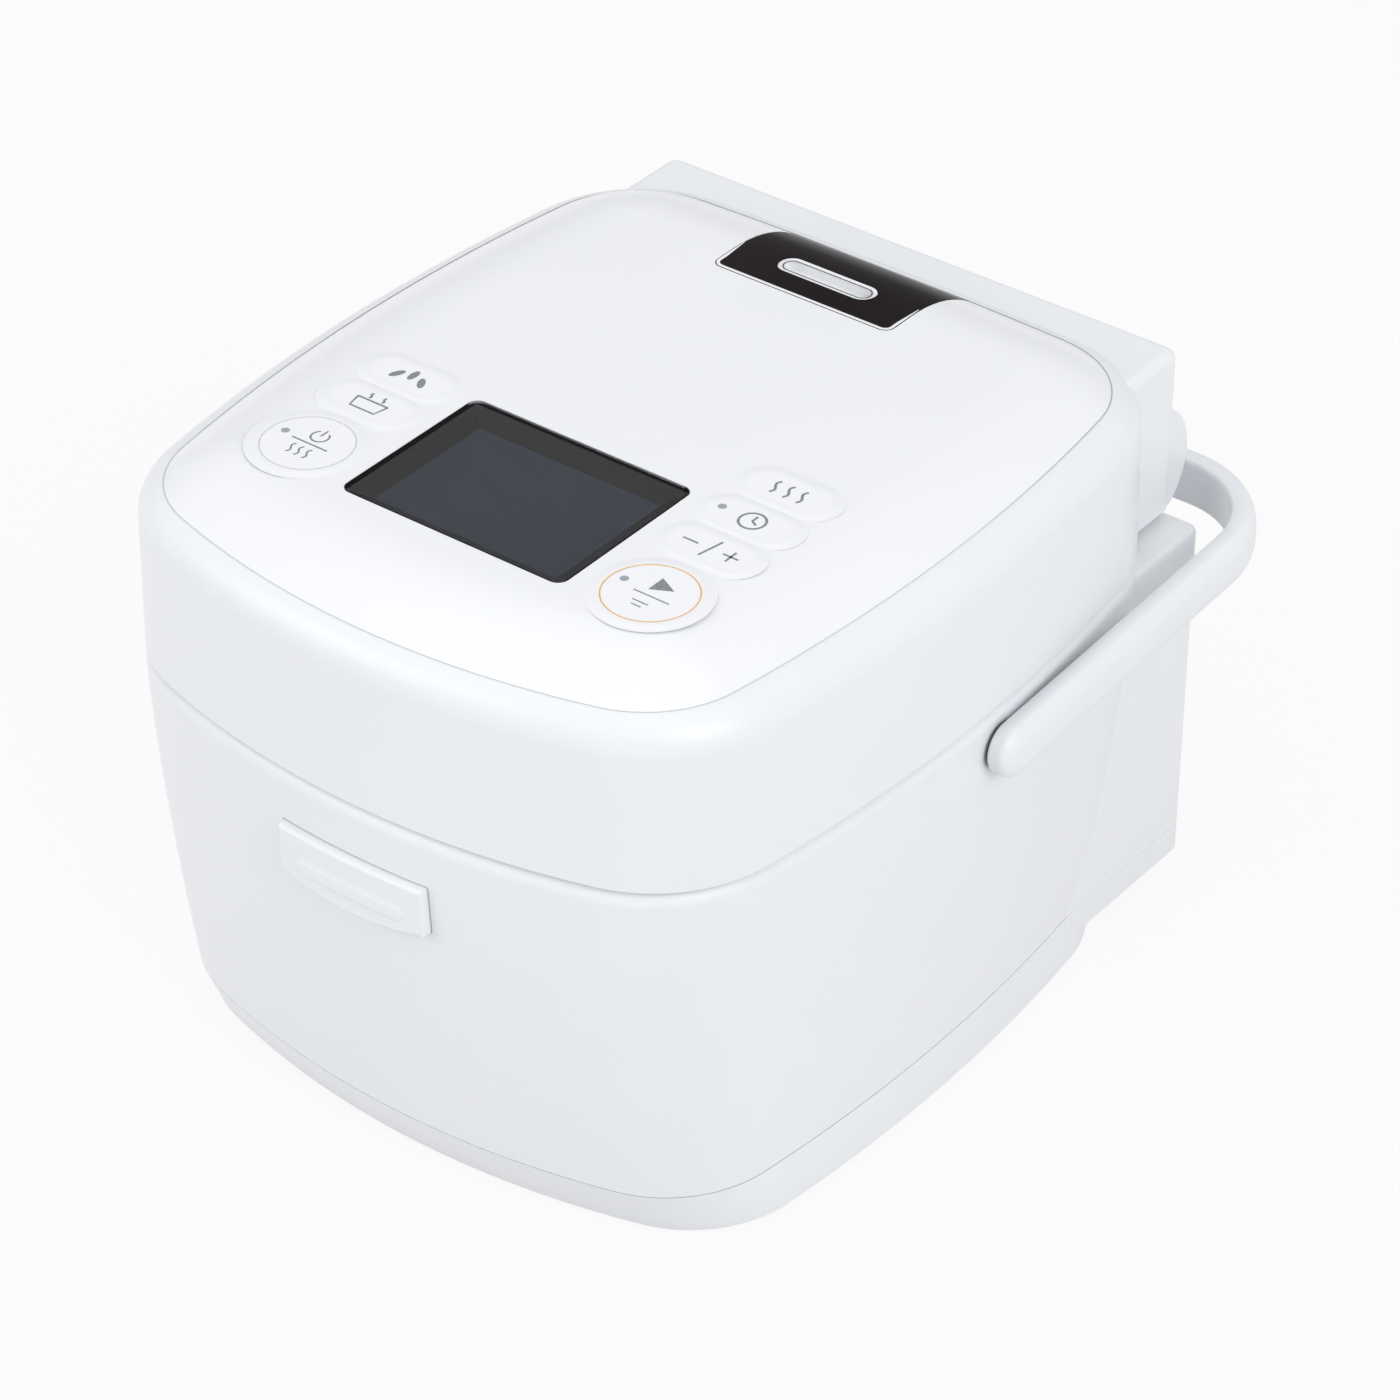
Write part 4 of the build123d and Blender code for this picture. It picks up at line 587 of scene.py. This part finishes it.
# Lid's underside: a grey cover carries the heat plate, and the steel inner lid with its rubber seal hangs
# below it. Two round beads pressed in the inner lid stiffen it and let drops run to the edge.
dress(matte_grey, "lid_inner_cover", "steam_well", "steam_duct")
dress(matte_black, "lid_sensor", "key_switches")
lid_steel = brushed("inner_lid_steel", (0.50, 0.50, 0.51), (0.64, 0.64, 0.65), 0.2, 0.34, (60, 1400, 60))
dress(lid_steel, "inner_lid")
seal_rubber = moulded("soft_grey_seal", (0.30, 0.30, 0.31), (0.36, 0.36, 0.37), 0.55, 0.7, 900, 0.00005)
dress(seal_rubber, "lid_gasket", "steam_gasket")
inner_lid_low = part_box("inner_lid")[0].z
bead_radii = (0.034, 0.062)
bead_half = 0.0022
bead_depth = 0.0009
bead_sunk = 0.00005
bead_steps = 4
bead_sides = 96
beads = bmesh.new()
for radius in bead_radii:
    bead_rings = []
    for step in range(bead_steps + 1):
        share = step / bead_steps
        reach = radius - bead_half + 2 * bead_half * share
        drop = inner_lid_low - bead_depth * math.sin(math.pi * share) + bead_sunk
        ring = []
        for i in range(bead_sides):
            x = pot_axis.x + reach * math.cos(math.tau * i / bead_sides)
            y = pot_axis.y + reach * math.sin(math.tau * i / bead_sides)
            ring.append(beads.verts.new((x, y, drop)))
        bead_rings.append(ring)
    join_rows(beads, bead_rings)
bead_steel = brushed("bead_steel", (0.50, 0.50, 0.51), (0.64, 0.64, 0.65), 0.2, 0.34, (60, 1400, 60))
settle("inner_lid_beads", beads, bead_steel, "lid")

# Top panel and keys: one glossy white moulding with seven soft keys set almost flush in it. It snaps into
# the lid's rim, and a thin grey strip in the joint is painted shade, darker towards the left rear than the
# right front.
gloss_white = moulded(
    "gloss_white_panel", (0.84, 0.848, 0.867), (0.855, 0.862, 0.879), 0.18, 0.25, 500, 0.000004
)
dress(gloss_white, "lid_panel")
key_names = ("key_grain", "key_menu", "key_stop", "key_slow", "key_timer", "key_time", "key_start")
key_white = moulded("key_white", (0.865, 0.872, 0.89), (0.88, 0.886, 0.90), 0.16, 0.22, 900, 0.00001)
dress(key_white, *key_names)
panel_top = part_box("lid_panel")[1].z
edge_height = 0.18
edge_reach = 0.00005
seam_lap = 0.00004
seam_width = 0.0003
seam_inner_height = 0.18005
seam_outer_height = 0.18003
shaded_side = (-0.6, 0.8, 0)
panel_points = [v.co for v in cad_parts["lid_panel"].data.vertices]
panel_edge = [point.to_2d() for point in panel_points if abs(point.z - edge_height) < edge_reach]
edge_line = [panel_edge[i] for i in convex_hull_2d(panel_edge)]
seam = bmesh.new()
seam_inside = []
seam_outside = []
for i, point in enumerate(edge_line):
    along = (edge_line[(i + 1) % len(edge_line)] - edge_line[i - 1]).normalized()
    away = Vector((along.y, -along.x))
    if away.dot(point) < 0:
        away = -away
    inner = point - away * seam_lap
    outer = point + away * seam_width
    seam_inside.append(seam.verts.new((inner.x, inner.y, seam_inner_height)))
    seam_outside.append(seam.verts.new((outer.x, outer.y, seam_outer_height)))
join_rows(seam, [seam_inside, seam_outside], smooth=False)
bmesh.ops.recalc_face_normals(seam, faces=seam.faces)
# The seam strip's grey is painted shade for the gap: darker towards the left rear and paler towards the right
# front, as the light falls.
seam_painted_shade = bpy.data.materials.new("seam_shade_grey")
seam_painted_shade.use_nodes = True
seam_nodes = seam_painted_shade.node_tree.nodes
seam_links = seam_painted_shade.node_tree.links
seam_place = seam_nodes.new("ShaderNodeTexCoord")
seam_axes = seam_nodes.new("ShaderNodeVectorMath")
seam_axes.operation = "DOT_PRODUCT"
seam_axes.inputs[1].default_value = shaded_side
seam_span = seam_nodes.new("ShaderNodeMapRange")
seam_span.inputs["From Min"].default_value = -0.06
seam_span.inputs["From Max"].default_value = 0.05
seam_shade_tone = seam_nodes.new("ShaderNodeValToRGB")
seam_shade_tone.color_ramp.elements[0].color = (0.62, 0.63, 0.65, 1)
seam_shade_tone.color_ramp.elements[1].color = (0.26, 0.265, 0.28, 1)
seam_links.new(seam_place.outputs["Object"], seam_axes.inputs[0])
seam_links.new(seam_axes.outputs["Value"], seam_span.inputs["Value"])
seam_links.new(seam_span.outputs["Result"], seam_shade_tone.inputs["Fac"])
seam_links.new(seam_shade_tone.outputs["Color"], seam_nodes["Principled BSDF"].inputs["Base Color"])
seam_nodes["Principled BSDF"].inputs["Roughness"].default_value = 0.6
settle("panel_seam_shade", seam, seam_painted_shade, "lid")

# Key skirts: a thin white lip of the panel's own film laps over the gap round each key, so that the keys
# read as soft raised fields and water stays out.
skirt_lap = 0.0016
skirt_crest = 0.001
skirt_reach = 0.0034
skirt_rise = 0.000356
skirt_film = 0.000004
skirt_steps = 12
skirt_sides = 72


def pill(shape, middle, run, radius, height, sides):
    """Points on a long round outline: two half circles, each a run away from the middle."""
    points = []
    for i in range(sides):
        angle = math.tau * (i + 0.5) / sides
        shift = run if math.cos(angle) > 0 else -run
        x = middle.x + shift + radius * math.cos(angle)
        y = middle.y + radius * math.sin(angle)
        points.append(shape.verts.new((x, y, height)))
    return points


skirts = bmesh.new()
for key in key_names:
    low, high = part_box(key)
    middle = (low + high) / 2
    key_radius = (high.y - low.y) / 2
    run = (high.x - low.x) / 2 - key_radius
    skirt_rings = []
    for step in range(skirt_steps + 2):
        fall = max(step - 1, 0) / skirt_steps
        grow = skirt_reach * fall - (skirt_lap if step == 0 else skirt_crest)
        rise = skirt_rise * (1 - fall * fall * (3 - 2 * fall)) + skirt_film
        skirt_rings.append(pill(skirts, middle, run, key_radius + grow, panel_top + rise, skirt_sides))
    join_rows(skirts, skirt_rings, turned=True)
settle("key_skirts", skirts, gloss_white, "lid")

# Signs, rings and lamp dots on the keys: screen printed in grey, with one orange ring on the start key. Each
# sign rides on its own key and goes down with it.
grey_ink = ink_and_shade("grey_print", (0.20, 0.205, 0.22), (0.30, 0.305, 0.32))
ring_grey = ink_and_shade("ring_grey", (0.47, 0.48, 0.50), (0.60, 0.61, 0.63))
ring_orange = ink_and_shade("ring_orange", (0.80, 0.40, 0.10), (0.85, 0.52, 0.22))
lamp_grey = ink_and_shade("lamp_dot_grey", (0.32, 0.345, 0.39), (0.40, 0.42, 0.46))
print_lift = 0.00001
ring_radius = 13.1
ring_sides = 120
lamp_radius = 1.25
lamp_sides = 32
grain_half_length = 1.9
grain_half_width = 0.85
grain_sides = 28
wave_steps = 24


def circle(x, y, radius, start=0, end=360, count=40):
    """Points on an arc, in millimetres from the key's middle; a full turn closes on its first point."""
    points = []
    for i in range(count + 1):
        angle = math.radians(start + (end - start) * i / count)
        points.append((x + radius * math.cos(angle), y + radius * math.sin(angle)))
    if abs(end - start) == 360:
        points[-1] = points[0]
    return points


def wave(x, y, length, swing):
    """Points on an upright wavy line, in millimetres."""
    points = []
    for i in range(wave_steps + 1):
        sway = swing * math.sin(math.tau * i / wave_steps)
        points.append((x + sway, y + length * (i / wave_steps - 0.5)))
    return points


def grain(x, y, turn):
    """Outline of one grain, in millimetres, turned by so many degrees."""
    lean = math.radians(turn)
    points = []
    for i in range(grain_sides):
        along = grain_half_length * math.cos(math.tau * i / grain_sides)
        across = grain_half_width * math.sin(math.tau * i / grain_sides)
        grain_x = x + along * math.cos(lean) - across * math.sin(lean)
        grain_y = y + along * math.sin(lean) + across * math.cos(lean)
        points.append((grain_x, grain_y))
    return points


def printed(name, key, finish, strokes=(), solids=(), width=0.6, size=1.0):
    """Prints a sign on a key's top: strokes are lines of one width, solids are filled outlines."""
    low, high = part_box(key)
    middle = (low + high) / 2
    top = high.z + print_lift
    sign = bmesh.new()

    def corner(x, y):
        return sign.verts.new((middle.x + size * x / 1000, middle.y + size * y / 1000, top))

    for points in strokes:
        closed = points[0] == points[-1]
        run = points[:-1] if closed else points
        left = []
        right = []
        for i, (x, y) in enumerate(run):
            before = run[i - 1] if closed or i > 0 else run[0]
            after = run[(i + 1) % len(run)] if closed or i < len(run) - 1 else run[-1]
            along = Vector((after[0] - before[0], after[1] - before[1])).normalized() * (width / 2)
            left.append(corner(x - along.y, y + along.x))
            right.append(corner(x + along.y, y - along.x))
        join_rows(sign, [left, right], closed, smooth=False, turned=True)
    for points in solids:
        sign.faces.new([corner(x, y) for x, y in points])
    settle(name, sign, finish, key + "_cap")


three_grains = [grain(-3.2, -0.4, 62), grain(0, 1.0, 90), grain(3.2, -0.4, 118)]
printed("sign_grain", "key_grain", grey_ink, solids=three_grains, size=1.35)
bowl_rim = [(-4.2, 1.0), (4.2, 1.0)]
bowl_side = [(-4.2, 1.0), (-3.4, -2.8), (3.4, -2.8), (4.2, 1.0)]
bowl_steam = [wave(x, 2.7, 2.0, 0.3) for x in (-1.8, 1.8)]
printed("sign_menu", "key_menu", grey_ink, [bowl_rim, bowl_side, *bowl_steam], size=1.25)
switch_off = [circle(0.6, 4.4, 2.6, 125, 415), [(0.6, 4.6), (0.6, 7.8)]]
divider = [(-5.6, 0), (6.8, 0)]
keep_warm = [wave(x, -4.3, 4.6, 0.55) for x in (-2.2, 0.6, 3.4)]
printed("sign_stop", "key_stop", grey_ink, [*switch_off, divider, *keep_warm])
slow_heat = [wave(x, 0, 4.6, 0.5) for x in (-3.4, 0, 3.4)]
printed("sign_slow", "key_slow", grey_ink, slow_heat, size=1.3)
clock_face = circle(0.6, 0, 2.9)
clock_hands = [(0.6, 1.9), (0.6, 0), (2.1, -0.9)]
printed("sign_timer", "key_timer", grey_ink, [clock_face, clock_hands], size=1.3)
minus = [(-7.6, 0), (-3.4, 0)]
plus = [[(3.4, 0), (7.6, 0)], [(5.5, -2.1), (5.5, 2.1)]]
slash = [(-0.7, -3.6), (0.7, 3.6)]
printed("sign_time", "key_time", grey_ink, [minus, *plus, slash], size=1.2)
start_lines = [[(-4.6, -1.2), (7.0, -1.2)], [(-2.2, -4.8), (3.0, -4.8)], [(-1.2, -6.6), (2.0, -6.6)]]
start_arrow = [(-1.6, 1.0), (4.6, 4.2), (-1.6, 7.4)]
printed("sign_start", "key_start", grey_ink, start_lines, [start_arrow], width=0.5)
key_ring = circle(0, 0, ring_radius, count=ring_sides)
printed("ring_stop", "key_stop", ring_grey, [key_ring], width=0.3)
printed("ring_start", "key_start", ring_orange, [key_ring], width=0.45)
for lamp_name, key, x, y in (
    ("lamp_stop", "key_stop", -9.0, 1.2),
    ("lamp_timer", "key_timer", -9.8, 0.8),
    ("lamp_start", "key_start", -9.5, 1.2),
):
    printed(lamp_name, key, lamp_grey, solids=[circle(x, y, lamp_radius, count=lamp_sides)[:-1]])

# Display: a clear flush cover over a dark sloping frame, and below it the liquid crystal cell, switched
# off, so it shows as a dark blue-grey plate with a few specks of dust.
clear_cover = bpy.data.materials.new("clear_cover")
clear_cover.use_nodes = True
cover_nodes = clear_cover.node_tree.nodes
cover_links = clear_cover.node_tree.links
cover_shader = cover_nodes["Principled BSDF"]
cover_shader.inputs["Transmission Weight"].default_value = 1
cover_shader.inputs["IOR"].default_value = 1.16
cover_shader.inputs["Base Color"].default_value = (0.86, 0.87, 0.88, 1)
cover_place = cover_nodes.new("ShaderNodeTexCoord")
smear = cover_nodes.new("ShaderNodeTexNoise")
smear.inputs["Scale"].default_value = 60
smear_gloss = cover_nodes.new("ShaderNodeMapRange")
smear_gloss.inputs["To Min"].default_value = 0.0
smear_gloss.inputs["To Max"].default_value = 0.012
cover_links.new(cover_place.outputs["Object"], smear.inputs["Vector"])
cover_links.new(smear.outputs["Fac"], smear_gloss.inputs["Value"])
cover_links.new(smear_gloss.outputs["Result"], cover_shader.inputs["Roughness"])
dress(clear_cover, "display_window")
dark_frame = moulded(
    "dark_brown_frame", (0.020, 0.018, 0.017), (0.030, 0.027, 0.025), 0.35, 0.45, 900, 0.000002
)
dark_frame.node_tree.nodes["Principled BSDF"].inputs["Specular IOR Level"].default_value = 0.3
dress(dark_frame, "display_bezel")
dark_cell = bpy.data.materials.new("dark_display_cell")
dark_cell.use_nodes = True
cell_nodes = dark_cell.node_tree.nodes
cell_links = dark_cell.node_tree.links
cell_place = cell_nodes.new("ShaderNodeTexCoord")
specks = cell_nodes.new("ShaderNodeTexVoronoi")
specks.inputs["Scale"].default_value = 150
speck_tone = cell_nodes.new("ShaderNodeValToRGB")
speck_tone.color_ramp.elements[0].position = 0.02
speck_tone.color_ramp.elements[0].color = (0.25, 0.26, 0.28, 1)
speck_tone.color_ramp.elements[1].position = 0.035
speck_tone.color_ramp.elements[1].color = (0.052, 0.062, 0.078, 1)
cell_links.new(cell_place.outputs["Object"], specks.inputs["Vector"])
cell_links.new(specks.outputs["Distance"], speck_tone.inputs["Fac"])
cell_links.new(speck_tone.outputs["Color"], cell_nodes["Principled BSDF"].inputs["Base Color"])
cell_nodes["Principled BSDF"].inputs["Roughness"].default_value = 0.3
cell_nodes["Principled BSDF"].inputs["Specular IOR Level"].default_value = 0.15
dress(dark_cell, "lcd_module")

# Steam cap: a glossy brown-black plate that follows the panel's curve, with a near-white strip along its
# front edge that is a painted highlight on its chamfer, and a white grille tray in its slot, ringed by a thin
# dark line of painted shade where the tray's wall is shadowed. It lifts straight off for washing.
cap_gloss = moulded(
    "gloss_brown_black", (0.016, 0.013, 0.0125), (0.024, 0.020, 0.019), 0.08, 0.13, 700, 0.000004
)
cap_gloss.node_tree.nodes["Principled BSDF"].inputs["Specular IOR Level"].default_value = 0.008
dress(cap_gloss, "steam_cap")
cap_half = 0.0308
cap_front = 0.058
cap_corner = 0.003
wing_length = 0.012
wing_steps = 8
corner_steps = 9
front_steps = 24
bevel_width = 0.001
bevel_inset = 0.00002
bevel_crown = 0.00009
bevel_lift = 0.00001
bevel_tip = 0.25
bevel_steps = 5
# stations along the cap's front edge, from its left end: place and outward direction
bevel_line = []
for i in range(wing_steps + 1):
    bevel_line.append((-cap_half, cap_front + cap_corner + wing_length * (1 - i / wing_steps), -1, 0))
for i in range(1, corner_steps):
    angle = math.pi + math.pi / 2 * i / corner_steps
    corner_x = cap_corner - cap_half + cap_corner * math.cos(angle)
    corner_y = cap_front + cap_corner + cap_corner * math.sin(angle)
    bevel_line.append((corner_x, corner_y, math.cos(angle), math.sin(angle)))
left_end = list(bevel_line)
for i in range(front_steps + 1):
    bevel_line.append(((cap_half - cap_corner) * (2 * i / front_steps - 1), cap_front, 0, -1))
bevel_line += [(-x, y, -away_x, away_y) for x, y, away_x, away_y in reversed(left_end)]
bevel = bmesh.new()
bevel_rows = []
for i, (x, y, away_x, away_y) in enumerate(bevel_line):
    fade = min(1, bevel_tip + min(i, len(bevel_line) - 1 - i) / wing_steps)
    row = []
    for step in range(bevel_steps + 1):
        share = step / bevel_steps
        inward = bevel_width * fade * share + bevel_inset
        rise = bevel_crown * math.sin(math.pi * share) + bevel_lift
        row.append(bevel.verts.new((x - away_x * inward, y - away_y * inward, panel_top + rise)))
    bevel_rows.append(row)
join_rows(bevel, bevel_rows, closed=False, turned=True)
bmesh.ops.recalc_face_normals(bevel, faces=bevel.faces)
# The bevel strip's near-white is a painted highlight, standing for the light the cap's front chamfer catches.
bevel_painted_highlight = moulded("bevel_painted_highlight", (0.84, 0.848, 0.865), (0.86, 0.867, 0.882), 0.15, 0.22, 700, 0.000004)
settle("steam_cap_bevel_highlight", bevel, bevel_painted_highlight, "steam_unit")
dress(key_white, "steam_grille")
tray_low, tray_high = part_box("steam_grille")
tray_middle = (tray_low + tray_high) / 2
tray_run = 0.01225
# The ring is painted shade: a flat dark line round the tray's inner edge, where the tray's wall is shadowed.
tray_shade_radii = (0.00252, 0.00296)
tray_shade_lift = 0.00003
tray_shade_sides = 64
tray_shade_ring = bmesh.new()
tray_shade_rings = []
for radius in tray_shade_radii:
    tray_shade_rings.append(pill(tray_shade_ring, tray_middle, tray_run, radius, tray_high.z + tray_shade_lift, tray_shade_sides))
join_rows(tray_shade_ring, tray_shade_rings, smooth=False, turned=True)
tray_shade_grey = ink_and_shade("tray_wall_shade_grey", (0.07, 0.07, 0.075), (0.11, 0.11, 0.115))
settle("steam_tray_wall_shade", tray_shade_ring, tray_shade_grey, "steam_unit")

# Studio: a plain pale floor and soft boxes round the object. The floor shows itself white to the camera and
# in reflections, and keeps the object's soft shadow.
floor_half = 40
floor_corners = [(floor_half * x, floor_half * y, 0) for x, y in ((-1, -1), (1, -1), (1, 1), (-1, 1))]
floor_mesh = bpy.data.meshes.new("floor")
floor_mesh.from_pydata(floor_corners, [], [(0, 1, 2, 3)])
floor = bpy.data.objects.new("floor", floor_mesh)
bpy.context.scene.collection.objects.link(floor)
floor_white = bpy.data.materials.new("pale_floor")
floor_white.use_nodes = True
floor_nodes = floor_white.node_tree.nodes
floor_links = floor_white.node_tree.links
floor_nodes.clear()
ground = floor_nodes.new("ShaderNodeBsdfDiffuse")
ground.inputs["Color"].default_value = (0.72, 0.72, 0.72, 1)
glow = floor_nodes.new("ShaderNodeEmission")
seen_by = floor_nodes.new("ShaderNodeLightPath")
seen_or_glossy = floor_nodes.new("ShaderNodeMath")
seen_or_glossy.operation = "MAXIMUM"
seen_any = floor_nodes.new("ShaderNodeMath")
seen_any.operation = "MAXIMUM"
glow_share = floor_nodes.new("ShaderNodeMath")
glow_share.operation = "MULTIPLY"
glow_share.inputs[1].default_value = 0.9
both = floor_nodes.new("ShaderNodeMixShader")
floor_out = floor_nodes.new("ShaderNodeOutputMaterial")
floor_links.new(seen_by.outputs["Is Camera Ray"], seen_or_glossy.inputs[0])
floor_links.new(seen_by.outputs["Is Glossy Ray"], seen_or_glossy.inputs[1])
floor_links.new(seen_or_glossy.outputs["Value"], seen_any.inputs[0])
floor_links.new(seen_by.outputs["Is Transmission Ray"], seen_any.inputs[1])
floor_links.new(seen_any.outputs["Value"], glow_share.inputs[0])
floor_links.new(glow_share.outputs["Value"], both.inputs["Fac"])
floor_links.new(ground.outputs["BSDF"], both.inputs[1])
floor_links.new(glow.outputs["Emission"], both.inputs[2])
floor_links.new(both.outputs["Shader"], floor_out.inputs["Surface"])
floor_mesh.materials.append(floor_white)

sky = bpy.data.worlds.new("studio")
bpy.context.scene.world = sky
sky.use_nodes = True
sky.node_tree.nodes["Background"].inputs["Color"].default_value = (0.96, 0.975, 1.0, 1)
sky.node_tree.nodes["Background"].inputs["Strength"].default_value = 0.612
lit_point = Vector((0, 0, 0.1))


def soft_box(name, place, width, power):
    """Square studio lamp with a large diffuser, aimed at the object's middle."""
    lamp = bpy.data.lights.new(name, "AREA")
    lamp.shape = "SQUARE"
    lamp.size = width
    lamp.energy = power
    stand = bpy.data.objects.new(name, lamp)
    bpy.context.scene.collection.objects.link(stand)
    stand.location = place
    stand.rotation_euler = (lit_point - Vector(place)).to_track_quat("-Z", "Y").to_euler()


soft_box("top_box", (-0.1, 0.0, 1.7), 1.8, 5.6)
soft_box("left_box", (-1.2, -1.7, 0.95), 1.4, 15.2)
soft_box("right_box", (1.7, -0.5, 1.2), 1.3, 17.5)

# Camera: stands off the object's front right corner with a long lens and looks down on it, as in the
# photograph, so that upright edges stay nearly parallel.
lens = bpy.data.cameras.new("photo_camera")
lens.sensor_width = 36
lens.lens = 131.73
camera = bpy.data.objects.new("photo_camera", lens)
bpy.context.scene.collection.objects.link(camera)
camera_aim = Vector((0, 0.01257, 0.0758))
camera_turn = math.radians(37.71)
camera_tilt = math.radians(35.434)
camera_distance = 1.47644
back_x = math.sin(camera_turn) * math.cos(camera_tilt)
back_y = -math.cos(camera_turn) * math.cos(camera_tilt)
back = Vector((back_x, back_y, math.sin(camera_tilt)))
camera.location = camera_aim + back * camera_distance
camera.rotation_euler = (-back).to_track_quat("-Z", "Y").to_euler()
bpy.context.scene.camera = camera
bpy.context.scene.view_settings.view_transform = "Standard"
